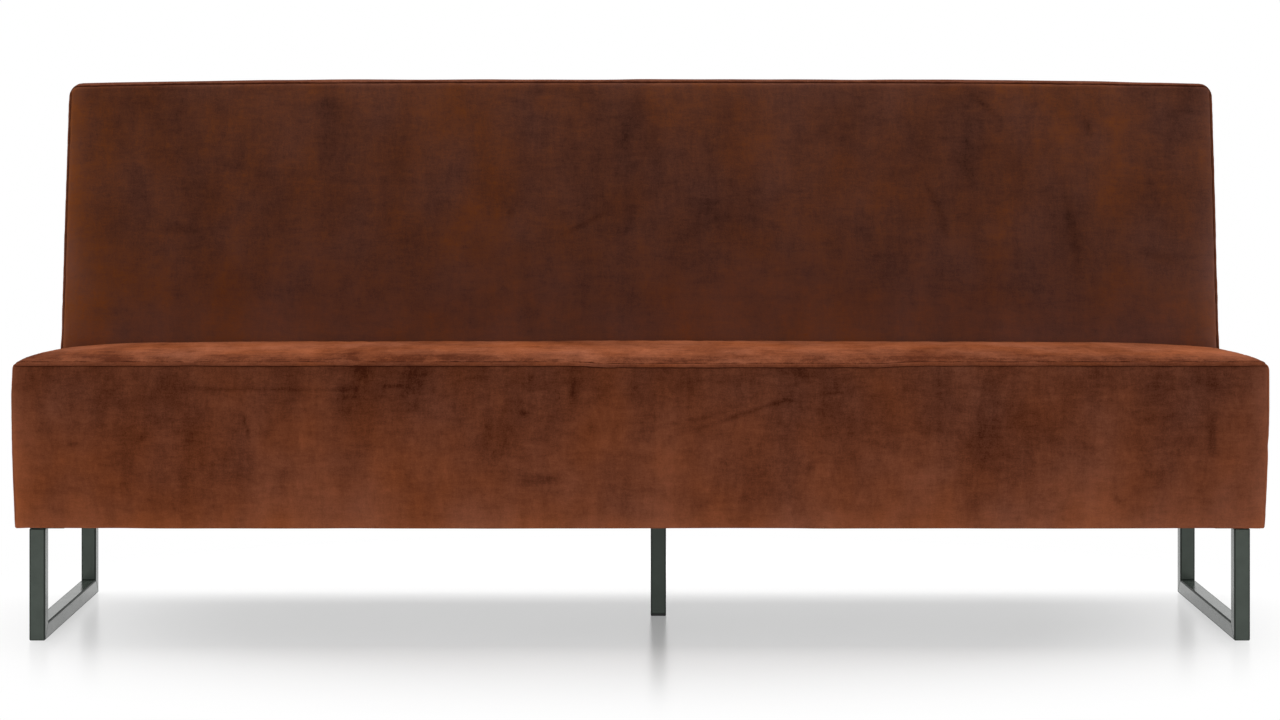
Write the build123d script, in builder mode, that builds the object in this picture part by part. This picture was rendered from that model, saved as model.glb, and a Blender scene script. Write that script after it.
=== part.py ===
from build123d import *
import math
import os

# Upholstered dining bench: a box seat on two sled legs and a centre leg, with a backrest bolted on
# behind it. Millimetres, +X to the right as seen from the front, +Y to the rear, +Z up. The origin is
# on the floor under the middle of the bench.

# Whole bench
seat_width = 2200.0
seat_depth = 430.0
seat_edge_height = 490.0
back_end_setback = 6.0
back_edge_height = 986.0
back_base_depth = 130.0
back_front_lean = 72.0
back_rear_lean = 34.0
leg_height = 200.0
overall_depth = seat_depth + back_base_depth + back_rear_lean

# Soft shape of the seat: crown on top, drop of the top towards the ends, bow of the front panel and
# fullness of the end panels
seat_crown = 7.0
seat_rear_drop = 13.0
seat_front_bow = 4.0
seat_end_draw_top = 7.0
seat_end_draw_bottom = 8.0
seat_end_bow = 2.0
seat_end_fullest_share = 0.82
seat_edge_radius = 8.0
seat_corner_radius = 9.0
seat_shoulder_radius = 12.0
seat_bottom_radius = 6.0
seat_station_shares = (-1.0, -0.93, -0.84, -0.58, 0.0, 0.58, 0.84, 0.93, 1.0)
seat_crown_shares = (0.0, 0.35, 0.65, 0.93, 1.0, 0.93, 0.65, 0.35, 0.0)
seat_rear_shares = (-0.9, -0.46, -0.15, 0.0, 0.15, 0.0, -0.15, -0.46, -0.9)

# Soft shape of the backrest: crown of the front panel, crown of the strip over the top, drop of the
# top edge towards the ends, and bow of the sides
knee_height = 480.0
back_front_crown = 6.0
back_end_crown = 2.0
back_top_crown = 7.0
back_top_drop = 6.0
back_side_bow = 2.0
back_edge_radius = 7.0
back_corner_radius = 14.0
back_knee_radius = 600.0
back_station_shares = (-1.0, -0.85, -0.5, 0.0, 0.5, 0.85, 1.0)
back_crown_shares = (0.0, 0.6, 0.9, 1.0, 0.9, 0.6, 0.0)

# Layers of the upholstery, from the outside in
fabric = 1.5
ease = 0.3
wadding = 8.0
front_padding = 12.0
end_padding = 12.0
side_padding = 8.0
top_padding = 8.0
rear_padding = 5.0
back_foam_depth = 50.0
seat_seam_inset = 6.0
back_seam_inset = 4.0
hem_width = 20.0
least_radius = 3.0
welt_radius = 3.3
welt_proud = 1.6
overrun = 20.0

# Timber and webbing of the seat
board = 22.0
seat_rail_height = 180.0
cross_rail_drop = 40.0
cross_rail_spacing = 540.0
corner_block_side = 60.0
leg_board_width = 130.0
centre_board_width = 120.0
strap_width = 60.0
strap = 2.0
seat_strap_count = 13
seat_long_strap_count = 4
seat_long_strap_pitch = 88.0

# Timber and webbing of the backrest
upright_spacing = 530.0
joining_rail_height = 110.0
joining_rail_lift = 88.0
back_rail = 18.0
back_rail_height = 60.0
waist_rail_lift = 30.0
back_board = 3.0
back_strap_count = 13

# Legs
tube = 28.0
tube_wall = 2.0
tube_radius = 2.5
sled_length = 500.0
sled_end_setback = 33.0
leg_plate = 5.0
leg_plate_width = 60.0
leg_plate_setback = 6.0
centre_leg_offset = 36.0
centre_leg_depth = 294.0
centre_plate_side = 80.0
glide_height = 1.5
glide_width = 20.0
glide_length = 40.0
glide_distance = 45.0
cap_height = 4.0
cap_plug_length = 14.0

# Fasteners
bolt_radius = 4.0
bolt_head_radius = 7.5
bolt_head_height = 5.3
leg_bolt_depth = 18.0
leg_bolt_margin = 12.0
sled_bolt_shares = (0.12, 0.7, 0.92)
joining_bolt_count = 4
joining_bolt_pitch = 540.0
nut_height = 6.5
bolt_end = 2.0

# Planes that the pieces share
seat_front = -overall_depth / 2
junction = seat_front + seat_depth
back_rear = junction + back_base_depth
half_seat = seat_width / 2
half_back = half_seat - back_end_setback
frame_bottom = leg_height + fabric
frame_top = frame_bottom + seat_rail_height
rail_front = seat_front + fabric + ease + front_padding
rail_end = half_seat - fabric - ease - end_padding
web_top = frame_top + 2 * strap + ease
joining_bottom = frame_bottom + joining_rail_lift
joining_top = joining_bottom + joining_rail_height
timber_end = half_back - fabric - ease - side_padding
timber_top = back_edge_height - fabric - ease - top_padding
foot_top = frame_bottom + board
back_frame_front = fabric + ease + back_foam_depth + ease + strap
back_frame_rear = fabric + ease + rear_padding + ease + back_board
back_reach = back_edge_height + back_top_crown + overrun

os.makedirs("parts", exist_ok=True)


def save(piece, label):
    """Names a finished piece and writes it."""
    piece.label = label
    export_step(piece, f"parts/{label}.step")


def radius_inside(radius, inset):
    """The radius of a rounded edge after it is drawn in."""
    return max(radius - inset, least_radius)


def front_at(height, depth=0.0):
    """Place in Y of the plane that lies depth behind the backrest's front, at a height."""
    share = max(height - knee_height, 0.0) / (back_edge_height - knee_height)
    return junction + depth + back_front_lean * share


def rear_at(height, depth=0.0):
    """Place in Y of the plane that lies depth inside the backrest's rear, at a height."""
    share = max(height - knee_height, 0.0) / (back_edge_height - knee_height)
    return back_rear - depth + back_rear_lean * share


def seat_form(inset=0.0):
    """The upholstered seat, drawn in by inset all round except at its rear."""
    bottom = leg_height + inset
    front = seat_front + seat_front_bow + inset
    edge = seat_edge_height - inset
    middle = (front + junction) / 2
    widest = half_seat - inset
    fullest = leg_height + (seat_edge_height - leg_height) * seat_end_fullest_share
    foot = (widest - seat_end_draw_bottom, bottom)
    head = (widest - seat_end_draw_top, edge)
    with BuildPart() as form:
        for station, crown, rear in zip(seat_station_shares, seat_crown_shares, seat_rear_shares):
            with BuildSketch(Plane.YZ.offset(half_seat * station)) as section:
                with BuildLine():
                    top_front = (front, edge)
                    top_rear = (junction, edge + seat_rear_drop * rear)
                    crest = (middle, edge + seat_crown * crown)
                    ThreePointArc((front, bottom), (seat_front + inset, (bottom + edge) / 2), top_front)
                    ThreePointArc(top_front, crest, top_rear)
                    Polyline(top_rear, (junction, bottom), (front, bottom))
                make_face()
                corner = section.vertices().sort_by_distance(top_front)[0]
                fillet(corner, radius_inside(seat_edge_radius, inset))
        loft(ruled=True)
        with BuildSketch(Plane.XZ) as end_view:
            with BuildLine():
                SagittaArc(foot, (widest, fullest), -seat_end_bow)
                SagittaArc((widest, fullest), head, -seat_end_bow / 2)
                Polyline(head, (0, edge + 2 * overrun), (0, bottom), foot)
            make_face()
            mirror(about=Plane.YZ)
            for side in (-1, 1):
                shoulder = end_view.vertices().sort_by_distance((side * head[0], head[1]))[0]
                fillet(shoulder, radius_inside(seat_shoulder_radius, inset))
                heel = end_view.vertices().sort_by_distance((side * foot[0], foot[1]))[0]
                fillet(heel, radius_inside(seat_bottom_radius, inset))
        extrude(amount=overall_depth, both=True, mode=Mode.INTERSECT)
        with BuildSketch(Plane.XY) as plan:
            with Locations((0, junction)):
                Rectangle(2 * widest, seat_depth - inset, align=(Align.CENTER, Align.MAX))
            fillet(
                plan.vertices().group_by(Axis.Y)[0],
                radius_inside(seat_corner_radius, inset),
            )
        extrude(amount=back_edge_height, mode=Mode.INTERSECT)
    return form.part


def back_form(inset=0.0):
    """The upholstered backrest, drawn in by inset all round."""
    bottom = leg_height + inset
    widest = half_back - inset
    foot = (widest - back_side_bow, bottom)
    head = (widest - back_side_bow, back_edge_height + back_top_crown - back_top_drop - inset)
    with BuildPart() as form:
        for station, share in zip(back_station_shares, back_crown_shares):
            edge = back_edge_height - back_top_drop * (1 - share) - inset
            crown = back_end_crown + (back_front_crown - back_end_crown) * share
            with BuildSketch(Plane.YZ.offset(half_back * station)) as section:
                with BuildLine():
                    knee = (junction + inset, knee_height)
                    top_front = (front_at(edge, inset), edge)
                    top_rear = (rear_at(edge, inset), edge)
                    rear_knee = (back_rear - inset, knee_height)
                    middle = (front_at((knee_height + edge) / 2, inset - crown), (knee_height + edge) / 2)
                    crest = ((top_front[0] + top_rear[0]) / 2, edge + back_top_crown)
                    Line((junction + inset, bottom), knee)
                    ThreePointArc(knee, middle, top_front)
                    ThreePointArc(top_front, crest, top_rear)
                    Polyline(top_rear, rear_knee, (back_rear - inset, bottom), (junction + inset, bottom))
                make_face()
                fillet(
                    [section.vertices().sort_by_distance(end)[0] for end in (top_front, top_rear)],
                    radius_inside(back_edge_radius, inset),
                )
                fillet(section.vertices().sort_by_distance(rear_knee)[0], back_knee_radius)
        loft(ruled=True)
        with BuildSketch(Plane.XZ) as end_view:
            with BuildLine():
                SagittaArc(foot, head, -back_side_bow)
                Polyline(head, (0, head[1] + 2 * overrun), (0, bottom), foot)
            make_face()
            mirror(about=Plane.YZ)
            fillet(
                [end_view.vertices().sort_by_distance((side * head[0], head[1]))[0] for side in (-1, 1)],
                radius_inside(back_corner_radius, inset),
            )
        extrude(amount=overall_depth, both=True, mode=Mode.INTERSECT)
    return form.part


def spaced(count, pitch):
    """Places that lie a pitch apart, with their middle at zero."""
    return [pitch * (i - (count - 1) / 2) for i in range(count)]


def plate(outline, half_length):
    """A piece as long as twice half_length, with its outline in the YZ plane."""
    with BuildPart() as piece:
        with BuildSketch(Plane.YZ):
            Polygon(*outline, align=None)
        extrude(amount=half_length, both=True)
    return piece.part


def in_front_of(depth, low):
    """Outline of all that lies in front of a depth in the backrest, above a height."""
    return [
        (junction - overrun, low),
        (junction - overrun, back_reach),
        (front_at(back_reach, depth), back_reach),
        (front_at(knee_height, depth), knee_height),
        (front_at(low, depth), low),
    ]


def leaning_strip(low, high, depth, thickness):
    """Outline of a strip that follows the backrest's front between two heights and two depths."""
    return [
        (front_at(low, depth), low),
        (front_at(high, depth), high),
        (front_at(high, depth + thickness), high),
        (front_at(low, depth + thickness), low),
    ]


# Layers of the seat and of the backrest

seat_outer = seat_form()
seat_lining = seat_form(fabric)
seat_filling = seat_form(fabric + ease)
seat_under_wadding = seat_form(fabric + ease + wadding)
seat_foam_form = seat_form(fabric + ease + wadding + ease)
back_outer = back_form()
back_lining = back_form(fabric)
back_filling = back_form(fabric + ease)

with BuildPart() as seat_skin:
    add(seat_outer)
    add(seat_lining, mode=Mode.SUBTRACT)

with BuildPart() as back_skin:
    add(back_outer)
    add(back_lining, mode=Mode.SUBTRACT)


# Seat covers: the seams run a little inside each edge, and the lower edges turn under as hems

seat_seam = seat_front + seat_front_bow + seat_seam_inset
seat_seam_end = half_seat - seat_seam_inset
seat_hem = seat_front + hem_width
seat_hem_end = half_seat - seat_end_draw_bottom - hem_width
seat_top_reach = seat_edge_height + overrun
floor_reach = leg_height - overrun

seat_front_region = plate(
    [
        (seat_front - overrun, floor_reach),
        (seat_front - overrun, seat_top_reach),
        (seat_seam, seat_top_reach),
        (seat_seam, frame_bottom),
        (seat_hem, frame_bottom),
        (seat_hem, floor_reach),
    ],
    seat_seam_end,
)
seat_top_region = plate(
    [
        (seat_seam, frame_top),
        (seat_seam, seat_top_reach),
        (junction + overrun, seat_top_reach),
        (junction + overrun, frame_top),
    ],
    seat_seam_end,
)
seat_under_region = plate(
    [
        (seat_hem, floor_reach),
        (seat_hem, frame_bottom),
        (junction + overrun, frame_bottom),
        (junction + overrun, floor_reach),
    ],
    seat_hem_end,
)

# The welt is sewn into the front seam: a rounded bead that stands a little proud of the edge
welt_reach = (seat_edge_radius - welt_radius + welt_proud) * math.sqrt(0.5)
welt_y = seat_front + seat_front_bow + seat_edge_radius - welt_reach
welt_z = seat_edge_height - seat_edge_radius + welt_reach
welt_end = half_seat - seat_end_draw_top - seat_corner_radius

with BuildPart() as welt_groove:
    with BuildSketch(Plane.YZ):
        with Locations((welt_y, welt_z)):
            Circle(welt_radius + ease)
    extrude(amount=welt_end + ease, both=True)

with BuildPart() as seat_welt:
    with BuildSketch(Plane.YZ):
        with Locations((welt_y, welt_z)):
            Circle(welt_radius)
    extrude(amount=welt_end, both=True)
    chamfer(seat_welt.edges().filter_by(GeomType.CIRCLE), welt_radius / 2)
save(seat_welt.part, "seat_welt")

with BuildPart() as seat_front_cover:
    add(seat_skin.part)
    add(seat_front_region, mode=Mode.INTERSECT)
    add(welt_groove.part, mode=Mode.SUBTRACT)
save(seat_front_cover.part, "seat_front_cover")

with BuildPart() as seat_top_cover:
    add(seat_skin.part)
    add(seat_top_region, mode=Mode.INTERSECT)
    add(welt_groove.part, mode=Mode.SUBTRACT)
save(seat_top_cover.part, "seat_top_cover")

with BuildPart() as seat_end_covers:
    add(seat_skin.part)
    add(seat_front_region, mode=Mode.SUBTRACT)
    add(seat_top_region, mode=Mode.SUBTRACT)
    add(seat_under_region, mode=Mode.SUBTRACT)
with BuildPart() as seat_end_cover_right:
    add(seat_end_covers.solids().sort_by(Axis.X)[-1])
save(seat_end_cover_right.part, "seat_end_cover_right")
with BuildPart() as seat_end_cover_left:
    add(seat_end_cover_right.part)
    mirror(about=Plane.YZ, mode=Mode.REPLACE)
save(seat_end_cover_left.part, "seat_end_cover_left")


# Seat softness: padding on the front and end rails, wadding over a foam block above the webbing

with BuildPart() as seat_front_padding:
    add(seat_filling)
    with BuildSketch(Plane.XY):
        with Locations((0, rail_front - ease)):
            Rectangle(seat_width, overall_depth, align=(Align.CENTER, Align.MAX))
    extrude(amount=frame_top, mode=Mode.INTERSECT)
save(seat_front_padding.part, "seat_front_padding")

for side, turn in (("left", -1), ("right", 1)):
    with BuildPart() as seat_end_padding:
        add(seat_filling)
        with BuildSketch(Plane.XY):
            with Locations((turn * (rail_end + ease + overrun), (rail_front + junction) / 2)):
                Rectangle(2 * overrun, junction - rail_front)
        extrude(amount=frame_top, mode=Mode.INTERSECT)
    save(seat_end_padding.part, f"seat_end_padding_{side}")

with BuildPart() as seat_wadding:
    add(seat_filling)
    add(seat_under_wadding, mode=Mode.SUBTRACT)
    add(welt_groove.part, mode=Mode.SUBTRACT)
    split(bisect_by=Plane.XY.offset(frame_top + ease), keep=Keep.TOP)
save(seat_wadding.part, "seat_wadding")

with BuildPart() as seat_foam:
    add(seat_foam_form)
    split(bisect_by=Plane.XY.offset(web_top), keep=Keep.TOP)
save(seat_foam.part, "seat_foam")


# Seat frame

rail_inner_front = rail_front + board
rail_inner_rear = junction - board
rail_inner_end = rail_end - board
well_depth = rail_inner_rear - rail_inner_front
well_middle = (rail_inner_rear + rail_inner_front) / 2
bolt_clear = bolt_radius + ease
joining_height = (joining_bottom + frame_top) / 2
joining_places = spaced(joining_bolt_count, joining_bolt_pitch)

with BuildPart() as seat_front_rail:
    with BuildSketch(Plane.XY.offset(frame_bottom)):
        with Locations((0, rail_front)):
            Rectangle(2 * rail_end, board, align=(Align.CENTER, Align.MIN))
    extrude(amount=seat_rail_height)
save(seat_front_rail.part, "seat_front_rail")

with BuildPart() as seat_rear_rail:
    with BuildSketch(Plane.XY.offset(frame_bottom)):
        with Locations((0, junction)):
            Rectangle(2 * rail_end, board, align=(Align.CENTER, Align.MAX))
    extrude(amount=seat_rail_height)
    with Locations(*[Plane((x, junction, joining_height), z_dir=(0, 1, 0)) for x in joining_places]):
        Hole(bolt_clear, board)
save(seat_rear_rail.part, "seat_rear_rail")

for side, turn in (("left", -1), ("right", 1)):
    with BuildPart() as seat_end_rail:
        with BuildSketch(Plane.XY.offset(frame_bottom)):
            with Locations((turn * (rail_end - board / 2), well_middle)):
                Rectangle(board, well_depth)
        extrude(amount=seat_rail_height)
    save(seat_end_rail.part, f"seat_end_rail_{side}")

cross_rails = (
    ("left", -cross_rail_spacing, frame_bottom),
    ("centre", 0, foot_top),
    ("right", cross_rail_spacing, frame_bottom),
)
for side, x, bottom in cross_rails:
    with BuildPart() as seat_cross_rail:
        with BuildSketch(Plane.XY.offset(bottom)):
            with Locations((x, well_middle)):
                Rectangle(board, well_depth)
        extrude(amount=frame_top - cross_rail_drop - bottom)
    save(seat_cross_rail.part, f"seat_cross_rail_{side}")

with BuildPart() as corner_blocks:
    with BuildSketch(Plane.XY.offset(foot_top)):
        Polygon(
            (rail_inner_end, rail_inner_front),
            (rail_inner_end - corner_block_side, rail_inner_front),
            (rail_inner_end, rail_inner_front + corner_block_side),
            align=None,
        )
        Polygon(
            (rail_inner_end, rail_inner_rear),
            (rail_inner_end - corner_block_side, rail_inner_rear),
            (rail_inner_end, rail_inner_rear - corner_block_side),
            align=None,
        )
        mirror(about=Plane.YZ)
    extrude(amount=frame_top - cross_rail_drop - foot_top)
save(corner_blocks.part, "seat_corner_blocks")


# Places of the legs and of the bolts that hold them

bench_middle = (seat_front + back_rear) / 2
sled_front = bench_middle - sled_length / 2
sled_rear = bench_middle + sled_length / 2
sled_outer = half_seat - sled_end_setback
plate_bottom = frame_bottom - leg_plate
plate_length = sled_length - 2 * leg_plate_setback
sled_bolt_x = sled_outer - leg_plate_width + leg_bolt_margin
sled_bolt_places = [(sled_bolt_x, sled_front + sled_length * share) for share in sled_bolt_shares]
centre_leg_y = seat_front + centre_leg_depth
centre_bolt_reach = centre_plate_side / 2 - leg_bolt_margin
centre_bolt_places = [
    (centre_leg_offset - centre_bolt_reach, centre_leg_y - centre_bolt_reach),
    (centre_leg_offset + centre_bolt_reach, centre_leg_y + centre_bolt_reach),
]
seat_bolt_places = [place for place in sled_bolt_places if place[1] < junction]
foot_bolt_places = [place for place in sled_bolt_places if place[1] > junction]

for side, turn in (("left", -1), ("right", 1)):
    with BuildPart() as leg_board:
        with BuildSketch(Plane.XY.offset(frame_bottom)):
            with Locations((turn * (rail_inner_end - leg_board_width / 2), well_middle)):
                Rectangle(leg_board_width, well_depth)
        extrude(amount=board)
        with Locations(*[Plane((turn * x, y, frame_bottom), z_dir=(0, 0, -1)) for x, y in seat_bolt_places]):
            Hole(bolt_clear, leg_bolt_depth + ease)
    save(leg_board.part, f"leg_board_{side}")

with BuildPart() as centre_leg_board:
    with BuildSketch(Plane.XY.offset(frame_bottom)):
        with Locations((centre_leg_offset, well_middle)):
            Rectangle(centre_board_width, well_depth)
    extrude(amount=board)
    with Locations(*[Plane((x, y, frame_bottom), z_dir=(0, 0, -1)) for x, y in centre_bolt_places]):
        Hole(bolt_clear, leg_bolt_depth + ease)
save(centre_leg_board.part, "centre_leg_board")

# The dust covers lie edge to edge with the hems and are cut out round the plates of the legs
with BuildPart() as plate_cut:
    with BuildSketch(Plane.XY.offset(leg_height)):
        with Locations(*[(turn * (sled_outer - leg_plate_width / 2), bench_middle) for turn in (-1, 1)]):
            Rectangle(leg_plate_width + 2 * ease, plate_length + 2 * ease)
        with Locations((centre_leg_offset, centre_leg_y)):
            Rectangle(centre_plate_side + 2 * ease, centre_plate_side + 2 * ease)
    extrude(amount=fabric)

with BuildPart() as seat_dust_cover:
    with BuildSketch(Plane.XY.offset(leg_height)):
        with Locations((0, seat_hem + ease)):
            Rectangle(
                2 * (seat_hem_end - ease),
                junction - seat_hem - 2 * ease,
                align=(Align.CENTER, Align.MIN),
            )
    extrude(amount=fabric)
    add(plate_cut.part, mode=Mode.SUBTRACT)
save(seat_dust_cover.part, "seat_dust_cover")


# Seat webbing, woven: each strap passes over one crossing strap and under the next

strap_rise = strap + ease


def woven_strap(length, crossings, over_first):
    """Outline of a strap, seen from its side, that rises over every other crossing strap."""
    lower = [(-length / 2, 0)]
    over = over_first
    for crossing in crossings:
        if over:
            near = crossing - strap_width / 2 - strap
            far = crossing + strap_width / 2 + strap
            lower += [(near - strap_rise, 0), (near, strap_rise), (far, strap_rise), (far + strap_rise, 0)]
        over = not over
    lower.append((length / 2, 0))
    return lower + [(x, z + strap) for x, z in reversed(lower)]


short_places = spaced(seat_strap_count, 2 * rail_inner_end / seat_strap_count)
long_places = spaced(seat_long_strap_count, seat_long_strap_pitch)
frame_middle = (rail_front + junction) / 2

with BuildPart() as seat_short_straps:
    for i, x in enumerate(short_places):
        with BuildSketch(Plane((x, frame_middle, frame_top), x_dir=(0, 1, 0), z_dir=(1, 0, 0))):
            Polygon(*woven_strap(junction - rail_front, long_places, i % 2 == 0), align=None)
        extrude(amount=strap_width / 2, both=True)
save(seat_short_straps.part, "seat_short_straps")

with BuildPart() as seat_long_straps:
    for i, y in enumerate(long_places):
        with BuildSketch(Plane((0, frame_middle + y, frame_top), x_dir=(1, 0, 0), z_dir=(0, -1, 0))):
            Polygon(*woven_strap(2 * rail_end, short_places, i % 2 == 1), align=None)
        extrude(amount=strap_width / 2, both=True)
save(seat_long_straps.part, "seat_long_straps")


# Backrest covers

back_seam_end = half_back - back_seam_inset
back_hem = back_rear - hem_width

back_front_region = plate(in_front_of(back_seam_inset, joining_top), back_seam_end)
back_joining_region = plate(
    [
        (junction - overrun, floor_reach),
        (junction - overrun, joining_top),
        (junction + back_seam_inset, joining_top),
        (junction + back_seam_inset, floor_reach),
    ],
    back_seam_end,
)
back_rear_region = plate(
    [
        (rear_at(back_reach, back_seam_inset), back_reach),
        (rear_at(knee_height, back_seam_inset), knee_height),
        (back_rear - back_seam_inset, frame_bottom),
        (back_hem, frame_bottom),
        (back_hem, floor_reach),
        (back_rear + overrun, floor_reach),
        (rear_at(back_reach) + overrun, back_reach),
    ],
    back_seam_end,
)
back_under_region = plate(
    [
        (junction - overrun, floor_reach),
        (junction - overrun, frame_bottom),
        (back_hem, frame_bottom),
        (back_hem, floor_reach),
    ],
    half_back - back_side_bow - hem_width,
)

with BuildPart() as back_front_cover:
    add(back_skin.part)
    add(back_front_region, mode=Mode.INTERSECT)
save(back_front_cover.part, "back_front_cover")

with BuildPart() as back_rear_cover:
    add(back_skin.part)
    add(back_rear_region, mode=Mode.INTERSECT)
save(back_rear_cover.part, "back_rear_cover")

with BuildPart() as back_boxing:
    add(back_skin.part)
    for region in (back_front_region, back_joining_region, back_rear_region, back_under_region):
        add(region, mode=Mode.SUBTRACT)
save(back_boxing.part, "back_boxing")

with BuildPart() as back_dust_cover:
    with BuildSketch(Plane.XY.offset(leg_height)):
        with Locations((0, junction)):
            Rectangle(
                2 * (half_back - back_side_bow - hem_width - ease),
                back_hem - ease - junction,
                align=(Align.CENTER, Align.MIN),
            )
    extrude(amount=fabric)
    add(plate_cut.part, mode=Mode.SUBTRACT)
save(back_dust_cover.part, "back_dust_cover")


# Backrest softness

foam_rear = fabric + ease + back_foam_depth
foam_room = in_front_of(foam_rear + ease, joining_top)

with BuildPart() as back_foam:
    add(back_filling)
    add(plate(in_front_of(foam_rear, joining_top + ease), half_back), mode=Mode.INTERSECT)
save(back_foam.part, "back_foam")

with BuildPart() as back_side_paddings:
    add(back_filling)
    add(plate(foam_room, half_back), mode=Mode.SUBTRACT)
    with BuildSketch(Plane.XY):
        Rectangle(2 * (timber_end + ease), 2 * overall_depth)
    extrude(amount=back_reach, mode=Mode.SUBTRACT)
for side, solid in zip(("left", "right"), back_side_paddings.solids().sort_by(Axis.X)):
    with BuildPart() as back_side_padding:
        add(solid)
    save(back_side_padding.part, f"back_side_padding_{side}")

with BuildPart() as back_top_padding:
    add(back_filling)
    add(plate(foam_room, half_back), mode=Mode.SUBTRACT)
    with BuildSketch(Plane.XY.offset(timber_top + ease)):
        Rectangle(2 * timber_end, 2 * overall_depth)
    extrude(amount=back_reach, mode=Mode.INTERSECT)
save(back_top_padding.part, "back_top_padding")

padding_front = fabric + ease + rear_padding
with BuildPart() as back_rear_padding:
    add(back_filling)
    add(
        plate(
            [
                (rear_at(timber_top, padding_front), timber_top),
                (rear_at(knee_height, padding_front), knee_height),
                (back_rear - padding_front, floor_reach),
                (back_rear + overrun, floor_reach),
                (rear_at(timber_top) + overrun, timber_top),
            ],
            timber_end,
        ),
        mode=Mode.INTERSECT,
    )
save(back_rear_padding.part, "back_rear_padding")


# Backrest frame

board_rear = padding_front + ease
rear_board = plate(
    [
        (rear_at(timber_top, board_rear), timber_top),
        (rear_at(knee_height, board_rear), knee_height),
        (back_rear - board_rear, frame_bottom),
        (back_rear - back_frame_rear, frame_bottom),
        (rear_at(knee_height, back_frame_rear), knee_height),
        (rear_at(timber_top, back_frame_rear), timber_top),
    ],
    timber_end,
)
save(rear_board, "back_rear_board")

waist_bottom = knee_height + waist_rail_lift
top_rail_bottom = timber_top - back_rail_height
waist_rail = plate(
    leaning_strip(waist_bottom, waist_bottom + back_rail_height, back_frame_front, back_rail), timber_end
)
save(waist_rail, "back_waist_rail")
top_rail = plate(leaning_strip(top_rail_bottom, timber_top, back_frame_front, back_rail), timber_end)
save(top_rail, "back_top_rail")

with BuildPart() as foot_rail:
    with BuildSketch(Plane.XY.offset(frame_bottom)):
        with Locations((0, junction)):
            Rectangle(2 * timber_end, back_base_depth - back_frame_rear, align=(Align.CENTER, Align.MIN))
    extrude(amount=board)
    for turn in (-1, 1):
        with Locations(*[Plane((turn * x, y, frame_bottom), z_dir=(0, 0, -1)) for x, y in foot_bolt_places]):
            Hole(bolt_clear, leg_bolt_depth + ease)
save(foot_rail.part, "back_foot_rail")

nut_face = junction + board
with BuildPart() as joining_rail:
    with BuildSketch(Plane.XY.offset(joining_bottom)):
        with Locations((0, junction)):
            Rectangle(2 * timber_end, board, align=(Align.CENTER, Align.MIN))
    extrude(amount=joining_rail_height)
    with Locations(*[Plane((x, nut_face, joining_height), z_dir=(0, 1, 0)) for x in joining_places]):
        Hole(bolt_clear, board)
save(joining_rail.part, "back_joining_rail")

upright_outline = [
    (nut_face, foot_top),
    (nut_face, joining_top),
    (front_at(joining_top, back_frame_front), joining_top),
    (front_at(knee_height, back_frame_front), knee_height),
    (front_at(timber_top, back_frame_front), timber_top),
    (rear_at(timber_top, back_frame_rear), timber_top),
    (rear_at(knee_height, back_frame_rear), knee_height),
    (back_rear - back_frame_rear, foot_top),
]
end_upright = timber_end - board / 2
uprights = (
    ("back_upright_left", (-end_upright,)),
    ("back_uprights_inner", (-upright_spacing, 0, upright_spacing)),
    ("back_upright_right", (end_upright,)),
)
for label, places in uprights:
    with BuildPart() as upright:
        for x in places:
            with BuildSketch(Plane.YZ.offset(x)):
                Polygon(*upright_outline, align=None)
            extrude(amount=board / 2, both=True)
        add(waist_rail, mode=Mode.SUBTRACT)
        add(top_rail, mode=Mode.SUBTRACT)
    save(upright.part, label)

with BuildPart() as back_straps:
    for x in spaced(back_strap_count, 2 * timber_end / back_strap_count):
        with BuildSketch(Plane.YZ.offset(x)):
            Polygon(*leaning_strip(waist_bottom, timber_top, back_frame_front - strap, strap), align=None)
        extrude(amount=strap_width / 2, both=True)
save(back_straps.part, "back_straps")


# Sled legs: square tube mitred at the lower corners, under a flat plate

middle_x = sled_outer - tube / 2
front_mitre = Plane((0, sled_front, glide_height), z_dir=(0, -1, 1))
rear_mitre = Plane((0, sled_rear, glide_height), z_dir=(0, 1, 1))


def tube_piece(plane, length):
    """A length of square tube along a plane's normal."""
    with BuildPart() as piece:
        with BuildSketch(plane):
            RectangleRounded(tube, tube, tube_radius)
            Rectangle(tube - 2 * tube_wall, tube - 2 * tube_wall, mode=Mode.SUBTRACT)
        extrude(amount=length)
    return piece.part


for side, turn in (("left", -1), ("right", 1)):
    x = turn * middle_x
    post_length = plate_bottom - glide_height
    with BuildPart() as front_post:
        add(tube_piece(Plane((x, sled_front + tube / 2, glide_height)), post_length))
        split(bisect_by=front_mitre, keep=Keep.TOP)
    save(front_post.part, f"sled_front_post_{side}")
    with BuildPart() as rear_post:
        add(tube_piece(Plane((x, sled_rear - tube / 2, glide_height)), post_length))
        split(bisect_by=rear_mitre, keep=Keep.TOP)
    save(rear_post.part, f"sled_rear_post_{side}")
    with BuildPart() as runner:
        start = Plane((x, sled_front, glide_height + tube / 2), z_dir=(0, 1, 0))
        add(tube_piece(start, sled_length))
        split(bisect_by=front_mitre, keep=Keep.BOTTOM)
        split(bisect_by=rear_mitre, keep=Keep.BOTTOM)
    save(runner.part, f"sled_runner_{side}")
    with BuildPart() as sled_plate:
        with BuildSketch(Plane.XY.offset(plate_bottom)):
            with Locations((turn * (sled_outer - leg_plate_width / 2), bench_middle)):
                Rectangle(leg_plate_width, plate_length)
        extrude(amount=leg_plate)
        with Locations(*[(turn * x, y, frame_bottom) for x, y in sled_bolt_places]):
            Hole(bolt_clear, leg_plate)
    save(sled_plate.part, f"sled_plate_{side}")

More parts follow.
